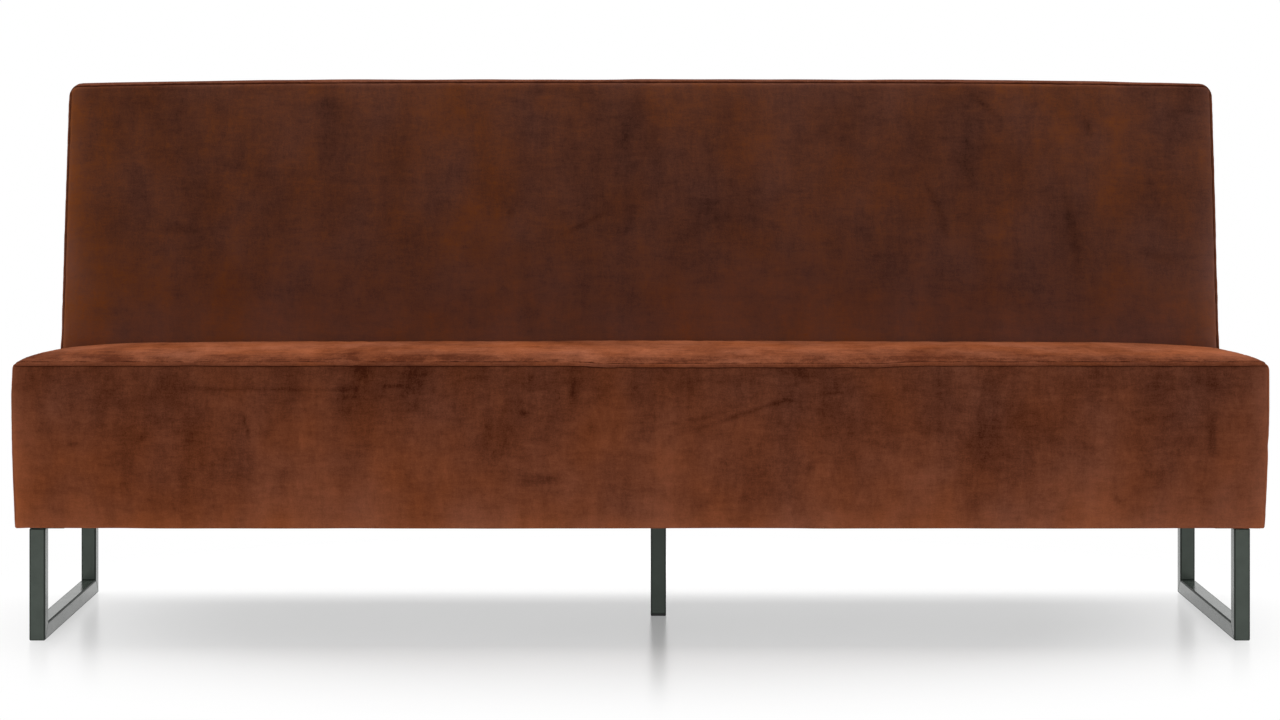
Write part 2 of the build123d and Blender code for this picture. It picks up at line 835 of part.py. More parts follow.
glide_places = (sled_front + glide_distance, sled_rear - glide_distance)
with BuildPart() as glides:
    with BuildSketch(Plane.XY):
        with Locations(*[(turn * middle_x, y) for turn in (-1, 1) for y in glide_places]):
            Rectangle(glide_width, glide_length)
    extrude(amount=glide_height)
save(glides.part, "sled_glides")


# Centre leg

with BuildPart() as centre_leg:
    add(tube_piece(Plane((centre_leg_offset, centre_leg_y, cap_height)), plate_bottom - cap_height))
save(centre_leg.part, "centre_leg")

with BuildPart() as centre_plate:
    with BuildSketch(Plane.XY.offset(plate_bottom)):
        with Locations((centre_leg_offset, centre_leg_y)):
            Rectangle(centre_plate_side, centre_plate_side)
    extrude(amount=leg_plate)
    with Locations(*[(x, y, frame_bottom) for x, y in centre_bolt_places]):
        Hole(bolt_clear, leg_plate)
save(centre_plate.part, "centre_leg_plate")

with BuildPart() as centre_cap:
    with BuildSketch(Plane((centre_leg_offset, centre_leg_y, 0))):
        RectangleRounded(tube, tube, tube_radius)
    extrude(amount=cap_height)
    chamfer(centre_cap.edges().group_by(Axis.Z)[0], cap_height / 4)
    with BuildSketch(Plane((centre_leg_offset, centre_leg_y, cap_height))):
        plug = tube - 2 * tube_wall - 2 * ease
        Rectangle(plug, plug)
    extrude(amount=cap_plug_length)
save(centre_cap.part, "centre_leg_cap")


# Hexagon bolts: eight hold the legs, and four with nuts join the backrest to the seat

leg_bolt_places = [(turn * x, y) for turn in (-1, 1) for x, y in sled_bolt_places] + centre_bolt_places
inward = (Align.CENTER, Align.CENTER, Align.MIN)

with BuildPart() as leg_bolts:
    with BuildSketch(Plane.XY.offset(plate_bottom)):
        with Locations(*leg_bolt_places):
            RegularPolygon(bolt_head_radius, 6)
    extrude(amount=-bolt_head_height)
    with Locations(*[(x, y, plate_bottom) for x, y in leg_bolt_places]):
        Cylinder(bolt_radius, leg_plate + leg_bolt_depth, align=inward)
save(leg_bolts.part, "leg_bolts")

with BuildPart() as joining_bolts:
    with BuildSketch(Plane.XZ.offset(-rail_inner_rear)):
        with Locations(*[(x, joining_height) for x in joining_places]):
            RegularPolygon(bolt_head_radius, 6)
    extrude(amount=bolt_head_height)
    with Locations(*[Plane((x, rail_inner_rear, joining_height), z_dir=(0, 1, 0)) for x in joining_places]):
        Cylinder(bolt_radius, 2 * board + nut_height + bolt_end, align=inward)
save(joining_bolts.part, "joining_bolts")

with BuildPart() as joining_nuts:
    with BuildSketch(Plane.XZ.offset(-nut_face)):
        with Locations(*[(x, joining_height) for x in joining_places]):
            RegularPolygon(bolt_head_radius, 6)
            Circle(bolt_clear, mode=Mode.SUBTRACT)
    extrude(amount=-nut_height)
save(joining_nuts.part, "joining_nuts")
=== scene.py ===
import math
from dataclasses import dataclass
from functools import partial

import bpy
import numpy as np
from bpy.props import FloatProperty, FloatVectorProperty, IntProperty, PointerProperty
from bpy.types import NodeSocket, Operator, Panel, PropertyGroup
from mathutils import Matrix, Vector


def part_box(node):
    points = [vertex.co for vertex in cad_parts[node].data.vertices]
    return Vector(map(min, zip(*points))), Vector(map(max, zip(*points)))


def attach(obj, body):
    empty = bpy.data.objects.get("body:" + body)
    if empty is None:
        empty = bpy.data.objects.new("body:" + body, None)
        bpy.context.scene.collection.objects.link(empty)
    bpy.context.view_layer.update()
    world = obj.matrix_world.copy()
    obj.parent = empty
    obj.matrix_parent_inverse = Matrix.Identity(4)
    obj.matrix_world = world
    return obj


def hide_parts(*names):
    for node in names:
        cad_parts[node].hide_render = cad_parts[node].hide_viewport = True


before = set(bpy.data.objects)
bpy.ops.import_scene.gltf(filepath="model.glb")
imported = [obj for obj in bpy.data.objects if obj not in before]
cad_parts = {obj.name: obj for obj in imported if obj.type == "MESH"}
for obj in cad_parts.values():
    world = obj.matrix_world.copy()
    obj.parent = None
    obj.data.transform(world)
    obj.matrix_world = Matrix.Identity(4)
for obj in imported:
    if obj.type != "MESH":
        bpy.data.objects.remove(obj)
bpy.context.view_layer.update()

bl_info = {
    "name": "Upholstered Dining Bench",
    "version": (1, 0, 0),
    "blender": (4, 5, 0),
    "location": "View3D > Sidebar > Bench",
    "description": "Covers the frame of a long dining bench in velvet and finishes its legs",
    "category": "Object",
}

MM = 0.001
TINY = 1e-12
ROOT = "root"

# Edges of the covers that the frame gives
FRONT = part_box("seat_front_cover")[0].y
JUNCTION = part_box("seat_top_cover")[1].y
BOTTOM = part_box("seat_front_cover")[0].z
BACK_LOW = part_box("back_front_cover")[0].z


# Sizes and colours that a user would change


def length(name, description, size):
    """A length that the panel shows in the scene's units, given in millimetres."""
    return FloatProperty(name=name, description=description, default=size * MM, unit="LENGTH", precision=4)


def number(name, description, value, unit="NONE"):
    """A plain number, or one in a unit such as a lamp's power."""
    return FloatProperty(name=name, description=description, default=value, unit=unit)


def linear(colour):
    """An sRGB hex colour as linear red, green and blue."""
    shares = [int(colour[i : i + 2], 16) / 255 for i in (1, 3, 5)]
    return tuple(c / 12.92 if c <= 0.04045 else ((c + 0.055) / 1.055) ** 2.4 for c in shares)


def colour(name, description, value):
    """A colour given as sRGB hex."""
    return FloatVectorProperty(
        name=name, description=description, subtype="COLOR", size=3, default=linear(value)
    )


class BenchShape(PropertyGroup):
    """The soft form of the seat and of the backrest"""

    seat_end: length("Seat end", "Half the width of the seat at its fullest", 1096)
    seat_edge: length("Seat edge", "Height of the seat's front edge", 490)
    seat_crown: length("Seat crown", "Rise of the seat's top over its edges", 7)
    seat_tilt: length("Seat tilt", "How far the rear of the seat drops at its ends", 13)
    seat_bow: length("Front bow", "Bow of the seat's front between bottom and top", 4)
    seat_corner: length("Seat corner", "Radius of the seat's top corners, seen from the front", 9)
    seat_draw: length("End draw", "How far the ends draw in at the bottom and top", 8)
    edge_dip: length("Edge dip", "Small dip of the front edge, right of its middle", 3.2)
    back_end: length("Back end", "Half the width of the backrest", 1096)
    back_shift: length("Back shift", "How far the backrest stands to the right", 3)
    back_edge: length("Back edge", "Height of the backrest's front seam", 985)
    back_corner: length("Back corner", "Radius of the backrest's top corners, seen from the front", 18)
    back_depth: length("Back depth", "Depth of the backrest at its foot", 130)
    back_lean: length("Back lean", "How far the backrest's front leans", 72)
    rear_lean: length("Rear lean", "How far the backrest's rear leans", 34)
    knee: length("Knee", "Height at which the backrest starts to lean", 480)
    back_crown: length("Back crown", "Fullness of the backrest's front", 6)
    top_crown: length("Top crown", "Rise of the strip over the backrest's top", 4.5)
    top_drop: length("Top drop", "Drop of the backrest's top towards its ends", 8.5)
    side_bow: length("Side bow", "Bow of the backrest's sides", 0.3)


class BenchSewing(PropertyGroup):
    """How the covers are sewn and how they settle over the filling"""

    spacing: length("Mesh spacing", "Distance between the points of a cover", 6)
    finest: length("Seam spacing", "Distance between the points beside a seam", 0.7)
    hem: length("Hem", "Width that is turned under at the bottom", 20)
    thickness: length("Thickness", "Velvet and the wadding quilted to it", 4)
    seam_gap: length("Seam gap", "Half the gap between two sewn edges", 0.35)
    seam_depth: length("Seam depth", "How deep a plain seam pulls in", 2.2)
    seam_width: length("Seam width", "How far from a seam the cover is pulled in", 2.4)
    welt_radius: length("Welt radius", "Radius of the welt along the front edge", 3.2)
    welt_proud: length("Welt stand", "How far the welt stands out of the edge", 1.5)
    pucker: length("Pucker", "Height of the small gathers along a seam", 0.35)
    unevenness: length("Unevenness", "Gentle waviness of the filling under the velvet", 0.7)
    pressure: number("Filling pressure", "Pressure of the filling on the cover", 3)
    settle_frames: IntProperty(name="Settling", description="Frames that the cloth settles for", default=20)
    settle_spacing: length("Settling spacing", "Distance between the points that settle", 14)
    settle_limit: length("Settling limit", "The most that a point of a cover may move", 2.5)


class BenchVelvet(PropertyGroup):
    """Colours of the velvet"""

    body: colour("Body", "The velvet's rust brown, in full light", "#7C422A")
    sheen: colour("Sheen", "Light on the tips of the pile", "#B5683C")


class BenchSteel(PropertyGroup):
    """Colours of the legs"""

    paint: colour("Paint", "Satin powder coat", "#4C544E")
    # The edge colour paints a dark reflection along the rounded edges and shade towards the ends under the
    # seat, and gives the mitres their own dark line
    edge: colour("Edge", "Powder coat at the rounded edges and the mitres", "#1B201D")
    gloss: colour("Gloss", "Tint of what the powder coat mirrors", "#EEFAEE")
    bevel: length("Mitre edge", "Softened edge of each mitre", 0.6)


class BenchStage(PropertyGroup):
    """Camera, floor and light"""

    floor_size: length("Floor", "Half the size of the floor", 9000)
    shadow_width: length("Shadow width", "How far to each side the floor keeps its shadow", 1430)
    shadow_depth: length("Shadow depth", "How far to the front and rear the floor keeps its shadow", 980)
    floor_lift: number("Floor lift", "White that the camera sees added to the floor", 0.25)
    focal: number("Lens", "Focal length in millimetres", 78.7)
    camera_x: length("Camera across", "Place of the camera along the bench", -31)
    camera_distance: length("Camera distance", "Distance from the seat's front to the camera", 4860)
    camera_height: length("Camera height", "Height of the camera", 914.4)
    shift_x: number("Shift across", "Lens shift across", 0.0141)
    shift_y: number("Shift up", "Lens shift up", -0.1889)
    overhead: number("Overhead", "Power of the overhead lamp", 106, "POWER")
    fill: number("Fill", "Power of the front lamp", 15, "POWER")
    sides: number("Sides", "Power of the lamp at each side", 9, "POWER")
    low_card: number("Low card", "Power of the card on the floor", 4, "POWER")
    sky: number("Sky", "Strength of the light from all round", 0.2)


SETTINGS = (
    ("bench_shape", BenchShape),
    ("bench_sewing", BenchSewing),
    ("bench_velvet", BenchVelvet),
    ("bench_steel", BenchSteel),
    ("bench_stage", BenchStage),
)


# Soft form of the bench: a plain box with rounded edges, warped to the bench's outline

# Radii across, in depth and in height, of the edges at the low and at the high side of each box
SEAT_LOW_RADII = np.array((14, 11, 4)) * MM
SEAT_HIGH_RADII = np.array((14, 1.5, 9)) * MM
BACK_LOW_RADII = np.array((13, 7, 5)) * MM
BACK_HIGH_RADII = np.array((13, 7, 9)) * MM

# Tighter edges low down: round the seat's foot, and where the backrest joins the seat, with the reach
# over which they open. The seat runs on a little behind that junction
SEAT_FOOT_RADIUS = 4 * MM
SEAT_FOOT_REACH = 45 * MM
BACK_JOINED_RADIUS = 1.5 * MM
BACK_JOINED_REACH = 30 * MM
SEAT_BEHIND = 2.8 * MM

# How the seat's ends draw in below and above their fullest height, at the left and at the right
END_FULLEST_SHARE = 0.82
FOOT_DRAW_CURVE = 1.6
TOP_DRAW_CURVE = 1.5
TOP_DRAW_SHARES = (0.45, 0)

# How the seat's rear edge falls: all along, towards the ends, and close to the ends
REAR_TILT_SHARES = (0.15, 0.25, 1.05)
REAR_END_CURVE = 12

# The dip of the seat's front edge
DIP_START = -120 * MM
DIP_STOP = 480 * MM
DIP_SOFTNESS = 70 * MM

# The backrest: how much more its top stands to the right, its fall to the ends, and its soft bends
BACK_SKEW = 0.55
BACK_DROP_CURVE = 3.5
BACK_TOP_CURVE = 8
FRONT_KNEE_SOFTNESS = 8 * MM
REAR_KNEE_SOFTNESS = 25 * MM


def lengths(vectors):
    """The length of each vector, never quite nothing, on an axis of its own."""
    return np.maximum(np.linalg.norm(vectors, axis=-1, keepdims=True), TINY)


def rounded(points, low, high, low_radii, high_radii):
    """Rounds the edges of a plain box, whose sides may have edges of different radii."""
    core = np.clip(points, low + low_radii, high - high_radii)
    reach = points - core
    radii = np.where(reach < 0, low_radii, high_radii)
    share = reach / radii
    return core + radii * share / lengths(share)


def ramp(height, knee, softness):
    """A line that starts to rise at the knee, with a soft bend there."""
    return softness * np.logaddexp(0, (height - knee) / softness)


def soft_step(values, start, reach):
    """Rises smoothly from nothing to one over a reach."""
    share = np.clip((values - start) / reach, 0, 1)
    return share * share * (3 - 2 * share)


def eased(radii, axis, first, points, start, reach):
    """Radii for each point, of which one grows from its first size over a reach of the height."""
    radii = np.broadcast_to(radii, points.shape).copy()
    radii[..., axis] = first + (radii[..., axis] - first) * soft_step(points[..., 2], start, reach)
    return radii


def arc_drop(x, end, radius):
    """How far a top corner of a radius lies under the corner of a square."""
    turn = np.clip(radius - end + np.abs(x), 0, radius)
    return radius - np.sqrt(radius**2 - turn**2)


def bulge(share):
    """A curve from nothing up to one in its middle and back."""
    return 1 - (2 * share - 1) ** 2


def seat_body(points, shape):
    """The seat: its top is crowned and falls at the rear of its ends, and its front and ends are bowed."""
    low = np.array((-shape.seat_end, FRONT, BOTTOM))
    high = np.array((shape.seat_end, JUNCTION + SEAT_BEHIND, shape.seat_edge))
    radii = [
        eased(radii, 0, SEAT_FOOT_RADIUS, points, BOTTOM, SEAT_FOOT_REACH)
        for radii in (SEAT_LOW_RADII, SEAT_HIGH_RADII)
    ]
    x, y, z = np.moveaxis(rounded(points, low, high, *radii), -1, 0)
    across = np.clip(np.abs(x) / shape.seat_end, 0, 1)
    behind = np.clip((y - FRONT) / (JUNCTION - FRONT), 0, 1)
    up = np.clip((z - BOTTOM) / (shape.seat_edge - BOTTOM), 0, 1)
    below = np.clip(END_FULLEST_SHARE - up, 0, 1) / END_FULLEST_SHARE
    above = np.clip(up - END_FULLEST_SHARE, 0, 1) / (1 - END_FULLEST_SHARE)
    draw = below**FOOT_DRAW_CURVE + np.where(x < 0, *TOP_DRAW_SHARES) * above**TOP_DRAW_CURVE
    x = x * (1 - shape.seat_draw / shape.seat_end * draw)
    level, slope, drop = REAR_TILT_SHARES
    tilt = shape.seat_tilt * (level - slope * across**2 - drop * across**REAR_END_CURVE) * behind
    rise = shape.seat_crown * bulge(behind) + tilt
    dip = soft_step(x, DIP_START, DIP_SOFTNESS) * soft_step(-x, -DIP_STOP, DIP_SOFTNESS)
    fall = shape.edge_dip * dip * (1 - behind) ** 3 + arc_drop(x, shape.seat_end, shape.seat_corner)
    top = np.clip(2 * up - 1, 0, 1)
    y = y + shape.seat_bow * (2 * up - 1) ** 2 * (1 - behind)
    return np.stack((x, y, z + rise * top**2 - fall * top**4), -1)


def back_body(points, shape):
    """The backrest: it rises straight behind the seat, then leans back, thinner towards its top."""
    low = np.array((-shape.back_end, 0, BOTTOM))
    high = np.array((shape.back_end, shape.back_depth, shape.back_edge))
    low_radii = eased(BACK_LOW_RADII, 1, BACK_JOINED_RADIUS, points, shape.knee, BACK_JOINED_REACH)
    x, y, z = np.moveaxis(rounded(points, low, high, low_radii, BACK_HIGH_RADII), -1, 0)
    across = np.clip(np.abs(x) / shape.back_end, 0, 1)
    behind = np.clip(y / shape.back_depth, 0, 1)
    up = np.clip((z - BOTTOM) / (shape.back_edge - BOTTOM), 0, 1)
    over = np.clip((z - shape.knee) / (shape.back_edge - shape.knee), 0, 1)
    rise = shape.back_edge - shape.knee
    front = shape.back_lean * ramp(z, shape.knee, FRONT_KNEE_SOFTNESS) / rise
    rear = shape.back_depth + shape.rear_lean * ramp(z, shape.knee, REAR_KNEE_SOFTNESS) / rise
    plump = shape.back_crown * (1 - across**4) * bulge(over)
    y = JUNCTION + front + (rear - front) * behind - plump * (1 - behind)
    arch = shape.top_crown * bulge(behind) - shape.top_drop * across**BACK_DROP_CURVE
    arch = arch - arc_drop(x, shape.back_end, shape.back_corner)
    z = z + arch * np.clip(2 * up - 1, 0, 1) ** BACK_TOP_CURVE
    x = x * (1 - shape.side_bow / shape.back_end * (2 * up - 1) ** 2)
    return np.stack((x + shape.back_shift * (1 + BACK_SKEW * over), y, z), -1)


# Covers: each is a cut piece of velvet, sewn to its neighbours and filled from behind


@dataclass
class Cover:
    """A cut piece. It runs along an axis from its start to its stop, and follows a line across that axis,
    which may turn under as a hem at either end, with the hem's ends mitred. Sewn is how strongly its two long
    and its two short edges are drawn in, and how dark the painted shade along each seam is. Shade gives
    painted light and shade by the place, hue the hue of its pile by the place, which on the backrest also
    colours its painted light, rims a painted highlight as a lighter margin at each short edge by its tone and
    width, and marks strokes in the pile, all in millimetres. The seed sets its random waves and where on the
    cloth it is cut."""

    name: str
    stands_for: tuple
    body: object
    along: int
    start: float
    stop: float
    line: list
    sewn: tuple
    seed: int
    hems: tuple = (False, False)
    mitres: tuple = (0, 0)
    settles: bool = True
    marks: tuple = ()
    shade: tuple = ((0, 0),)
    shade_axis: int = 2
    rims: tuple = (0, 18, 0, 18)
    hue_across: tuple = ((0, 0),)
    hue_up: tuple = ((0, 0),)


def graded(size, step, finest, growth=1.45):
    """Distances from nothing to a size, close together at both ends and a step apart between."""
    near = []
    cell = finest
    while cell < step and 2 * (sum(near) + cell) < size:
        near.append(cell)
        cell *= growth
    rest = size - 2 * sum(near)
    count = max(1, math.ceil(rest / step))
    cells = near + [rest / count] * count + near[::-1]
    return np.concatenate(((0,), np.cumsum(cells)))


def corners_of(cover):
    """The corners of a cover's line, and how far along the line each lies."""
    corners = np.array(cover.line)
    steps = np.linalg.norm(np.diff(corners, axis=0), axis=1)
    return corners, np.concatenate(((0,), np.cumsum(steps)))


def between_hems(cover):
    """How far along its line a cover's face starts and stops, without its hems."""
    gone = corners_of(cover)[1]
    return gone[int(cover.hems[0])], gone[-1 - int(cover.hems[1])]


def on_body(cover, shape, along, across):
    """Points of a cover at distances along and across it, before it is sewn."""
    corners, gone = corners_of(cover)
    low, high = between_hems(cover)
    hem = np.clip(low - across, 0, None) + np.clip(across - high, 0, None)
    reach = cover.stop - cover.start
    share = (along / reach)[None, :]
    run = cover.start + cover.mitres[0] * hem[:, None] * (1 - share)
    run = run + share * reach - cover.mitres[1] * hem[:, None] * share
    points = np.empty(run.shape + (3,))
    points[..., cover.along] = run
    points[..., 1 - cover.along] = np.interp(across, gone, corners[:, 0])[:, None]
    points[..., 2] = np.interp(across, gone, corners[:, 1])[:, None]
    return cover.body(points, shape)


def normals_of(points, heart):
    """Directions square to a grid of points, away from a point at the heart of its body."""
    across = np.gradient(points, axis=0)
    along = np.gradient(points, axis=1)
    normal = np.cross(along, across)
    normal /= lengths(normal)
    return -normal if np.sum((points - heart) * normal) < 0 else normal


def run_over(points, axis):
    """How far each point of a grid lies from the first of its row or column, along the surface."""
    steps = np.linalg.norm(np.diff(points, axis=axis), axis=-1)
    first = np.zeros_like(np.take(steps, [0], axis))
    return np.concatenate((first, np.cumsum(steps, axis)), axis)


def cubic(places, count):
    """Weights that carry values at evenly spaced places, counted from nothing, smoothly to others."""
    places = np.clip(places, 0, count - 1)
    base = np.minimum(places.astype(int), count - 2)
    t = places - base
    weights = np.zeros((len(places), count))
    parts = (
        -0.5 * t + t**2 - 0.5 * t**3,
        1 - 2.5 * t**2 + 1.5 * t**3,
        0.5 * t + 2 * t**2 - 1.5 * t**3,
        -0.5 * t**2 + 0.5 * t**3,
    )
    rows = np.arange(len(places))
    for step, part in zip((-1, 0, 1, 2), parts):
        np.add.at(weights, (rows, np.clip(base + step, 0, count - 1)), part)
    return weights


def ripple(random, across, along, size, fewest=4):
    """Smooth random waves of about one, whose humps are as long as size."""
    rows, columns = (max(fewest, int(np.ptp(run) / size) + 2) for run in (across, along))
    field = random.standard_normal((rows, columns))
    down = cubic((across - across[0]) / np.ptp(across) * (rows - 1), rows)
    side = cubic((along - along[0]) / np.ptp(along) * (columns - 1), columns)
    return down @ field @ side.T


def numbered(rows, columns, first=0):
    """The numbers of a grid's points."""
    return np.arange(first, first + rows * columns).reshape(rows, columns)


def quads(grid):
    """The quads between the points of a grid, by their numbers."""
    corners = (grid[:-1, :-1], grid[:-1, 1:], grid[1:, 1:], grid[1:, :-1])
    return np.stack([corner.ravel() for corner in corners], 1).tolist()


def new_object(name, points, faces):
    """A smooth mesh object from its points and faces, in the scene."""
    mesh = bpy.data.meshes.new(name)
    mesh.from_pydata(np.reshape(points, (-1, 3)).tolist(), [], faces)
    mesh.polygons.foreach_set("use_smooth", [True] * len(mesh.polygons))
    mesh.update()
    made = bpy.data.objects.new(name, mesh)
    bpy.context.scene.collection.objects.link(made)
    return made


def closed_object(name, points, faces):
    """A closed mesh object, turned outwards where the volume inside its faces comes out below nothing."""
    made = new_object(name, points, faces)
    mesh = made.data
    mesh.calc_loop_triangles()
    corners = np.empty(len(mesh.loop_triangles) * 3, int)
    mesh.loop_triangles.foreach_get("vertices", corners)
    places = np.empty(len(mesh.vertices) * 3)
    mesh.vertices.foreach_get("co", places)
    a, b, c = np.moveaxis(places.reshape(-1, 3)[corners.reshape(-1, 3)], 1, 0)
    if np.sum(np.cross(a, b) * c) < 0:
        mesh.flip_normals()
    return made


def store(made, name, values):
    """Keeps a number or a vector for each point of a mesh, for its material to read."""
    values = np.asarray(values, np.float32)
    if values.size == len(made.data.vertices):
        kind, field = "FLOAT", "value"
    else:
        kind, field = "FLOAT_VECTOR", "vector"
    made.data.attributes.new(name, kind, "POINT").data.foreach_set(field, values.ravel())


# How the cover behaves as cloth, in Blender's own settings
CLOTH = {
    "quality": 6,
    "mass": 0.15,
    "tension_stiffness": 25,
    "compression_stiffness": 25,
    "shear_stiffness": 12,
    "bending_stiffness": 2,
    "shrink_min": -0.003,
    "use_pressure": True,
    "vertex_group_mass": "held",
}


def settled(points, sewing):
    """Lets a cover settle as cloth: its edges are held and the filling presses from behind."""
    rows, columns = points.shape[:2]
    grid = numbered(rows, columns)
    sheet = new_object("settling", points, quads(grid))
    edge = np.concatenate((grid[0], grid[-1], grid[:, 0], grid[:, -1]))
    held = sheet.vertex_groups.new(name="held")
    held.add(sorted(set(edge.tolist())), 1, "REPLACE")
    cloth = sheet.modifiers.new("settle", "CLOTH")
    for name, value in CLOTH.items():
        setattr(cloth.settings, name, value)
    cloth.settings.uniform_pressure_force = sewing.pressure
    cloth.settings.effector_weights.gravity = 0
    cloth.collision_settings.use_collision = False
    cloth.point_cache.frame_start = 1
    cloth.point_cache.frame_end = sewing.settle_frames
    scene = bpy.context.scene
    for step in range(1, sewing.settle_frames + 1):
        scene.frame_set(step)
    shown = sheet.evaluated_get(bpy.context.evaluated_depsgraph_get())
    moved = np.empty(rows * columns * 3)
    shown.data.vertices.foreach_get("co", moved)
    mesh = sheet.data
    bpy.data.objects.remove(sheet)
    bpy.data.meshes.remove(mesh)
    scene.frame_set(1)
    return moved.reshape(points.shape)


def settling(cover, shape, sewing, along, across, fewest=6):
    """How far each point of a cover moves when it settles, limited to what the filling allows."""
    if not cover.settles:
        return np.zeros((len(across), len(along), 3))
    low, high = between_hems(cover)
    rows, columns = (max(fewest, round(run / sewing.settle_spacing)) for run in (high - low, along[-1]))
    start = on_body(cover, shape, np.linspace(0, along[-1], columns), np.linspace(low, high, rows))
    moved = settled(start, sewing) - start
    size = lengths(moved)
    moved *= sewing.settle_limit * np.tanh(size / sewing.settle_limit) / size
    down = cubic((across - low) / (high - low) * (rows - 1), rows)
    side = cubic(along / along[-1] * (columns - 1), columns)
    return np.einsum("ir,rcx,jc->ijx", down, moved, side)


# Waves of the cloth: the sizes of the gathers along a seam and their reach in widths of the seam, and the
# filling's unevenness, away from the seams, with the sizes of its waves and the share of the finer ones
GATHER_SIZES = (9 * MM, 26 * MM)
GATHER_REACH = 5
UNEVEN_START = 20 * MM
UNEVEN_SIZES = (150 * MM, 60 * MM)
UNEVEN_SHARE = 0.4

# Strokes in the pile: how deep and how much darker they are, and how full they are at their tips
MARK_DEPTH = 0.5 * MM
MARK_TONE = 0.6
MARK_TIP = 0.12

# A seam's dark line: painted shade in the seam's crease
SEAM_LINE = 2.1 * MM
SEAM_TONE = 1.1

# Each cover reads the velvet's patterns at a place of its own
PATTERN_STEP = 7
WELT_PLACE = 31

# Rows of points on a cover's inner side, beside those at its corners, and the hem's share of its thickness
INNER_ROWS = 9
HEM_SHARE = 1 / 3

# Height of the heart of seat and backrest, and how far behind the junction the backrest's heart lies
HEART_HEIGHT = 350 * MM
HEART_BEHIND = 100 * MM


def drawn_in(cover, sewing, random, along, across, gaps):
    """How far each point of a cover stands out, below nothing where a seam pulls it in."""
    pull = np.zeros(gaps[0].shape)
    for gap, drawn in zip(gaps, cover.sewn):
        near = np.exp(-((gap / sewing.seam_width) ** 2))
        gather = np.exp(-gap / (GATHER_REACH * sewing.seam_width))
        waves = sum(ripple(random, across, along, size) for size in GATHER_SIZES)
        pull += drawn * (sewing.pucker * gather * waves - sewing.seam_depth * near)
    free = 1 - np.exp(-np.minimum.reduce(gaps) / UNEVEN_START)
    broad, fine = (ripple(random, across, along, size) for size in UNEVEN_SIZES)
    return pull + sewing.unevenness * free * (broad + UNEVEN_SHARE * fine)


def pile_marks(cover, points):
    """How strongly the pile is pressed down at each point, in the short strokes that sitting leaves."""
    pressed = np.zeros(points.shape[:2])
    place = points[..., (0, 2)]
    for x0, z0, x1, z1, width, strength in cover.marks:
        start = np.array((x0, z0)) * MM
        stroke = np.array((x1, z1)) * MM - start
        run = np.clip(((place - start) @ stroke) / (stroke @ stroke), 0, 1)
        gap = np.linalg.norm(place - start - run[..., None] * stroke, axis=-1)
        taper = np.sin(math.pi * (MARK_TIP + (1 - 2 * MARK_TIP) * run))
        pressed += strength * taper * np.exp(-((gap / (width * MM)) ** 2))
    return pressed


def read_off(pairs, places):
    """Values at places, read off pairs of a place in millimetres and its value."""
    marks, values = zip(*pairs)
    return np.interp(places / MM, marks, values)


def tone_of(cover, points, gaps, pressed):
    """Tone of the pile at each point: painted light and shade from its shade table, a painted highlight in a
    lighter margin towards the short edges, painted shade in a dark line along each seam, and darker pressed
    marks.
    """
    tone = read_off(cover.shade, points[..., cover.shade_axis]) - MARK_TONE * pressed
    # Painted highlight: a lighter margin beside each short edge
    for gap, rim, width in zip(gaps[2:], cover.rims[::2], cover.rims[1::2]):
        tone += rim * np.exp(-gap / (width * MM))
    # Painted shade: a dark line in the crease along each sewn edge
    for gap, drawn in zip(gaps, cover.sewn):
        tone -= SEAM_TONE * drawn * np.exp(-((gap / SEAM_LINE) ** 2))
    return tone


def sew(cover, shape, sewing):
    """Makes a cover: the points of its face, pulled in at its seams, closed behind by its wadding."""
    random = np.random.default_rng(cover.seed)
    gone = corners_of(cover)[1]
    along = graded(cover.stop - cover.start, sewing.spacing, sewing.finest)
    legs = [graded(b - a, sewing.spacing, sewing.finest) + a for a, b in zip(gone, gone[1:])]
    across = np.concatenate([legs[0]] + [leg[1:] for leg in legs[1:]])
    points = on_body(cover, shape, along, across) + settling(cover, shape, sewing, along, across)
    middle = (FRONT + JUNCTION) / 2 if cover.body is seat_body else JUNCTION + HEART_BEHIND
    normal = normals_of(points, np.array((0, middle, HEART_HEIGHT)))
    down, side = run_over(points, 0), run_over(points, 1)
    gaps = (down, down[-1] - down, side, side[:, -1:] - side)
    pressed = pile_marks(cover, points)
    stand = drawn_in(cover, sewing, random, along, across, gaps) - MARK_DEPTH * pressed
    face = points + normal * stand[..., None]
    low, high = between_hems(cover)
    backing = np.full(len(across), sewing.thickness)
    if cover.hems[0]:
        backing[across < low] *= HEM_SHARE
    if cover.hems[1]:
        backing[across > high] *= HEM_SHARE
    even = np.linspace(0, len(across) - 1, INNER_ROWS).astype(int)
    chosen = np.unique(np.concatenate((np.searchsorted(across, gone[:-1] - TINY), even)))
    inside = face[chosen] - normal[chosen] * backing[chosen][:, None, None]
    made = closed_shell(cover.name, face, inside, chosen)
    cloth = np.stack(np.broadcast_arrays(along, across[:, None], PATTERN_STEP * cover.seed), -1)
    # Hue by the place; on the backrest it also colours the painted light
    hue = read_off(cover.hue_across, points[..., 0]) + read_off(cover.hue_up, points[..., 2])
    for name, values in (("cloth", cloth), ("tone", tone_of(cover, points, gaps, pressed)), ("hue", hue)):
        store(made, name, np.concatenate((values, values[chosen])))
    return made


def closed_shell(name, face, inside, chosen):
    """Joins a face and its inner side, which has only some of its rows, into one closed mesh."""
    rows, columns = face.shape[:2]
    outer = numbered(rows, columns)
    inner = numbered(len(chosen), columns, rows * columns)
    faces = quads(outer) + [quad[::-1] for quad in quads(inner)]
    for i in range(columns - 1):
        faces.append([outer[0, i + 1], outer[0, i], inner[0, i], inner[0, i + 1]])
        faces.append([outer[-1, i], outer[-1, i + 1], inner[-1, i + 1], inner[-1, i]])
    for k, (a, b) in enumerate(zip(chosen, chosen[1:])):
        faces.append([*outer[a : b + 1, 0], inner[k + 1, 0], inner[k, 0]])
        faces.append([*outer[a : b + 1, -1][::-1], inner[k, -1], inner[k + 1, -1]])
    return closed_object(name, np.concatenate((face, inside)), faces)
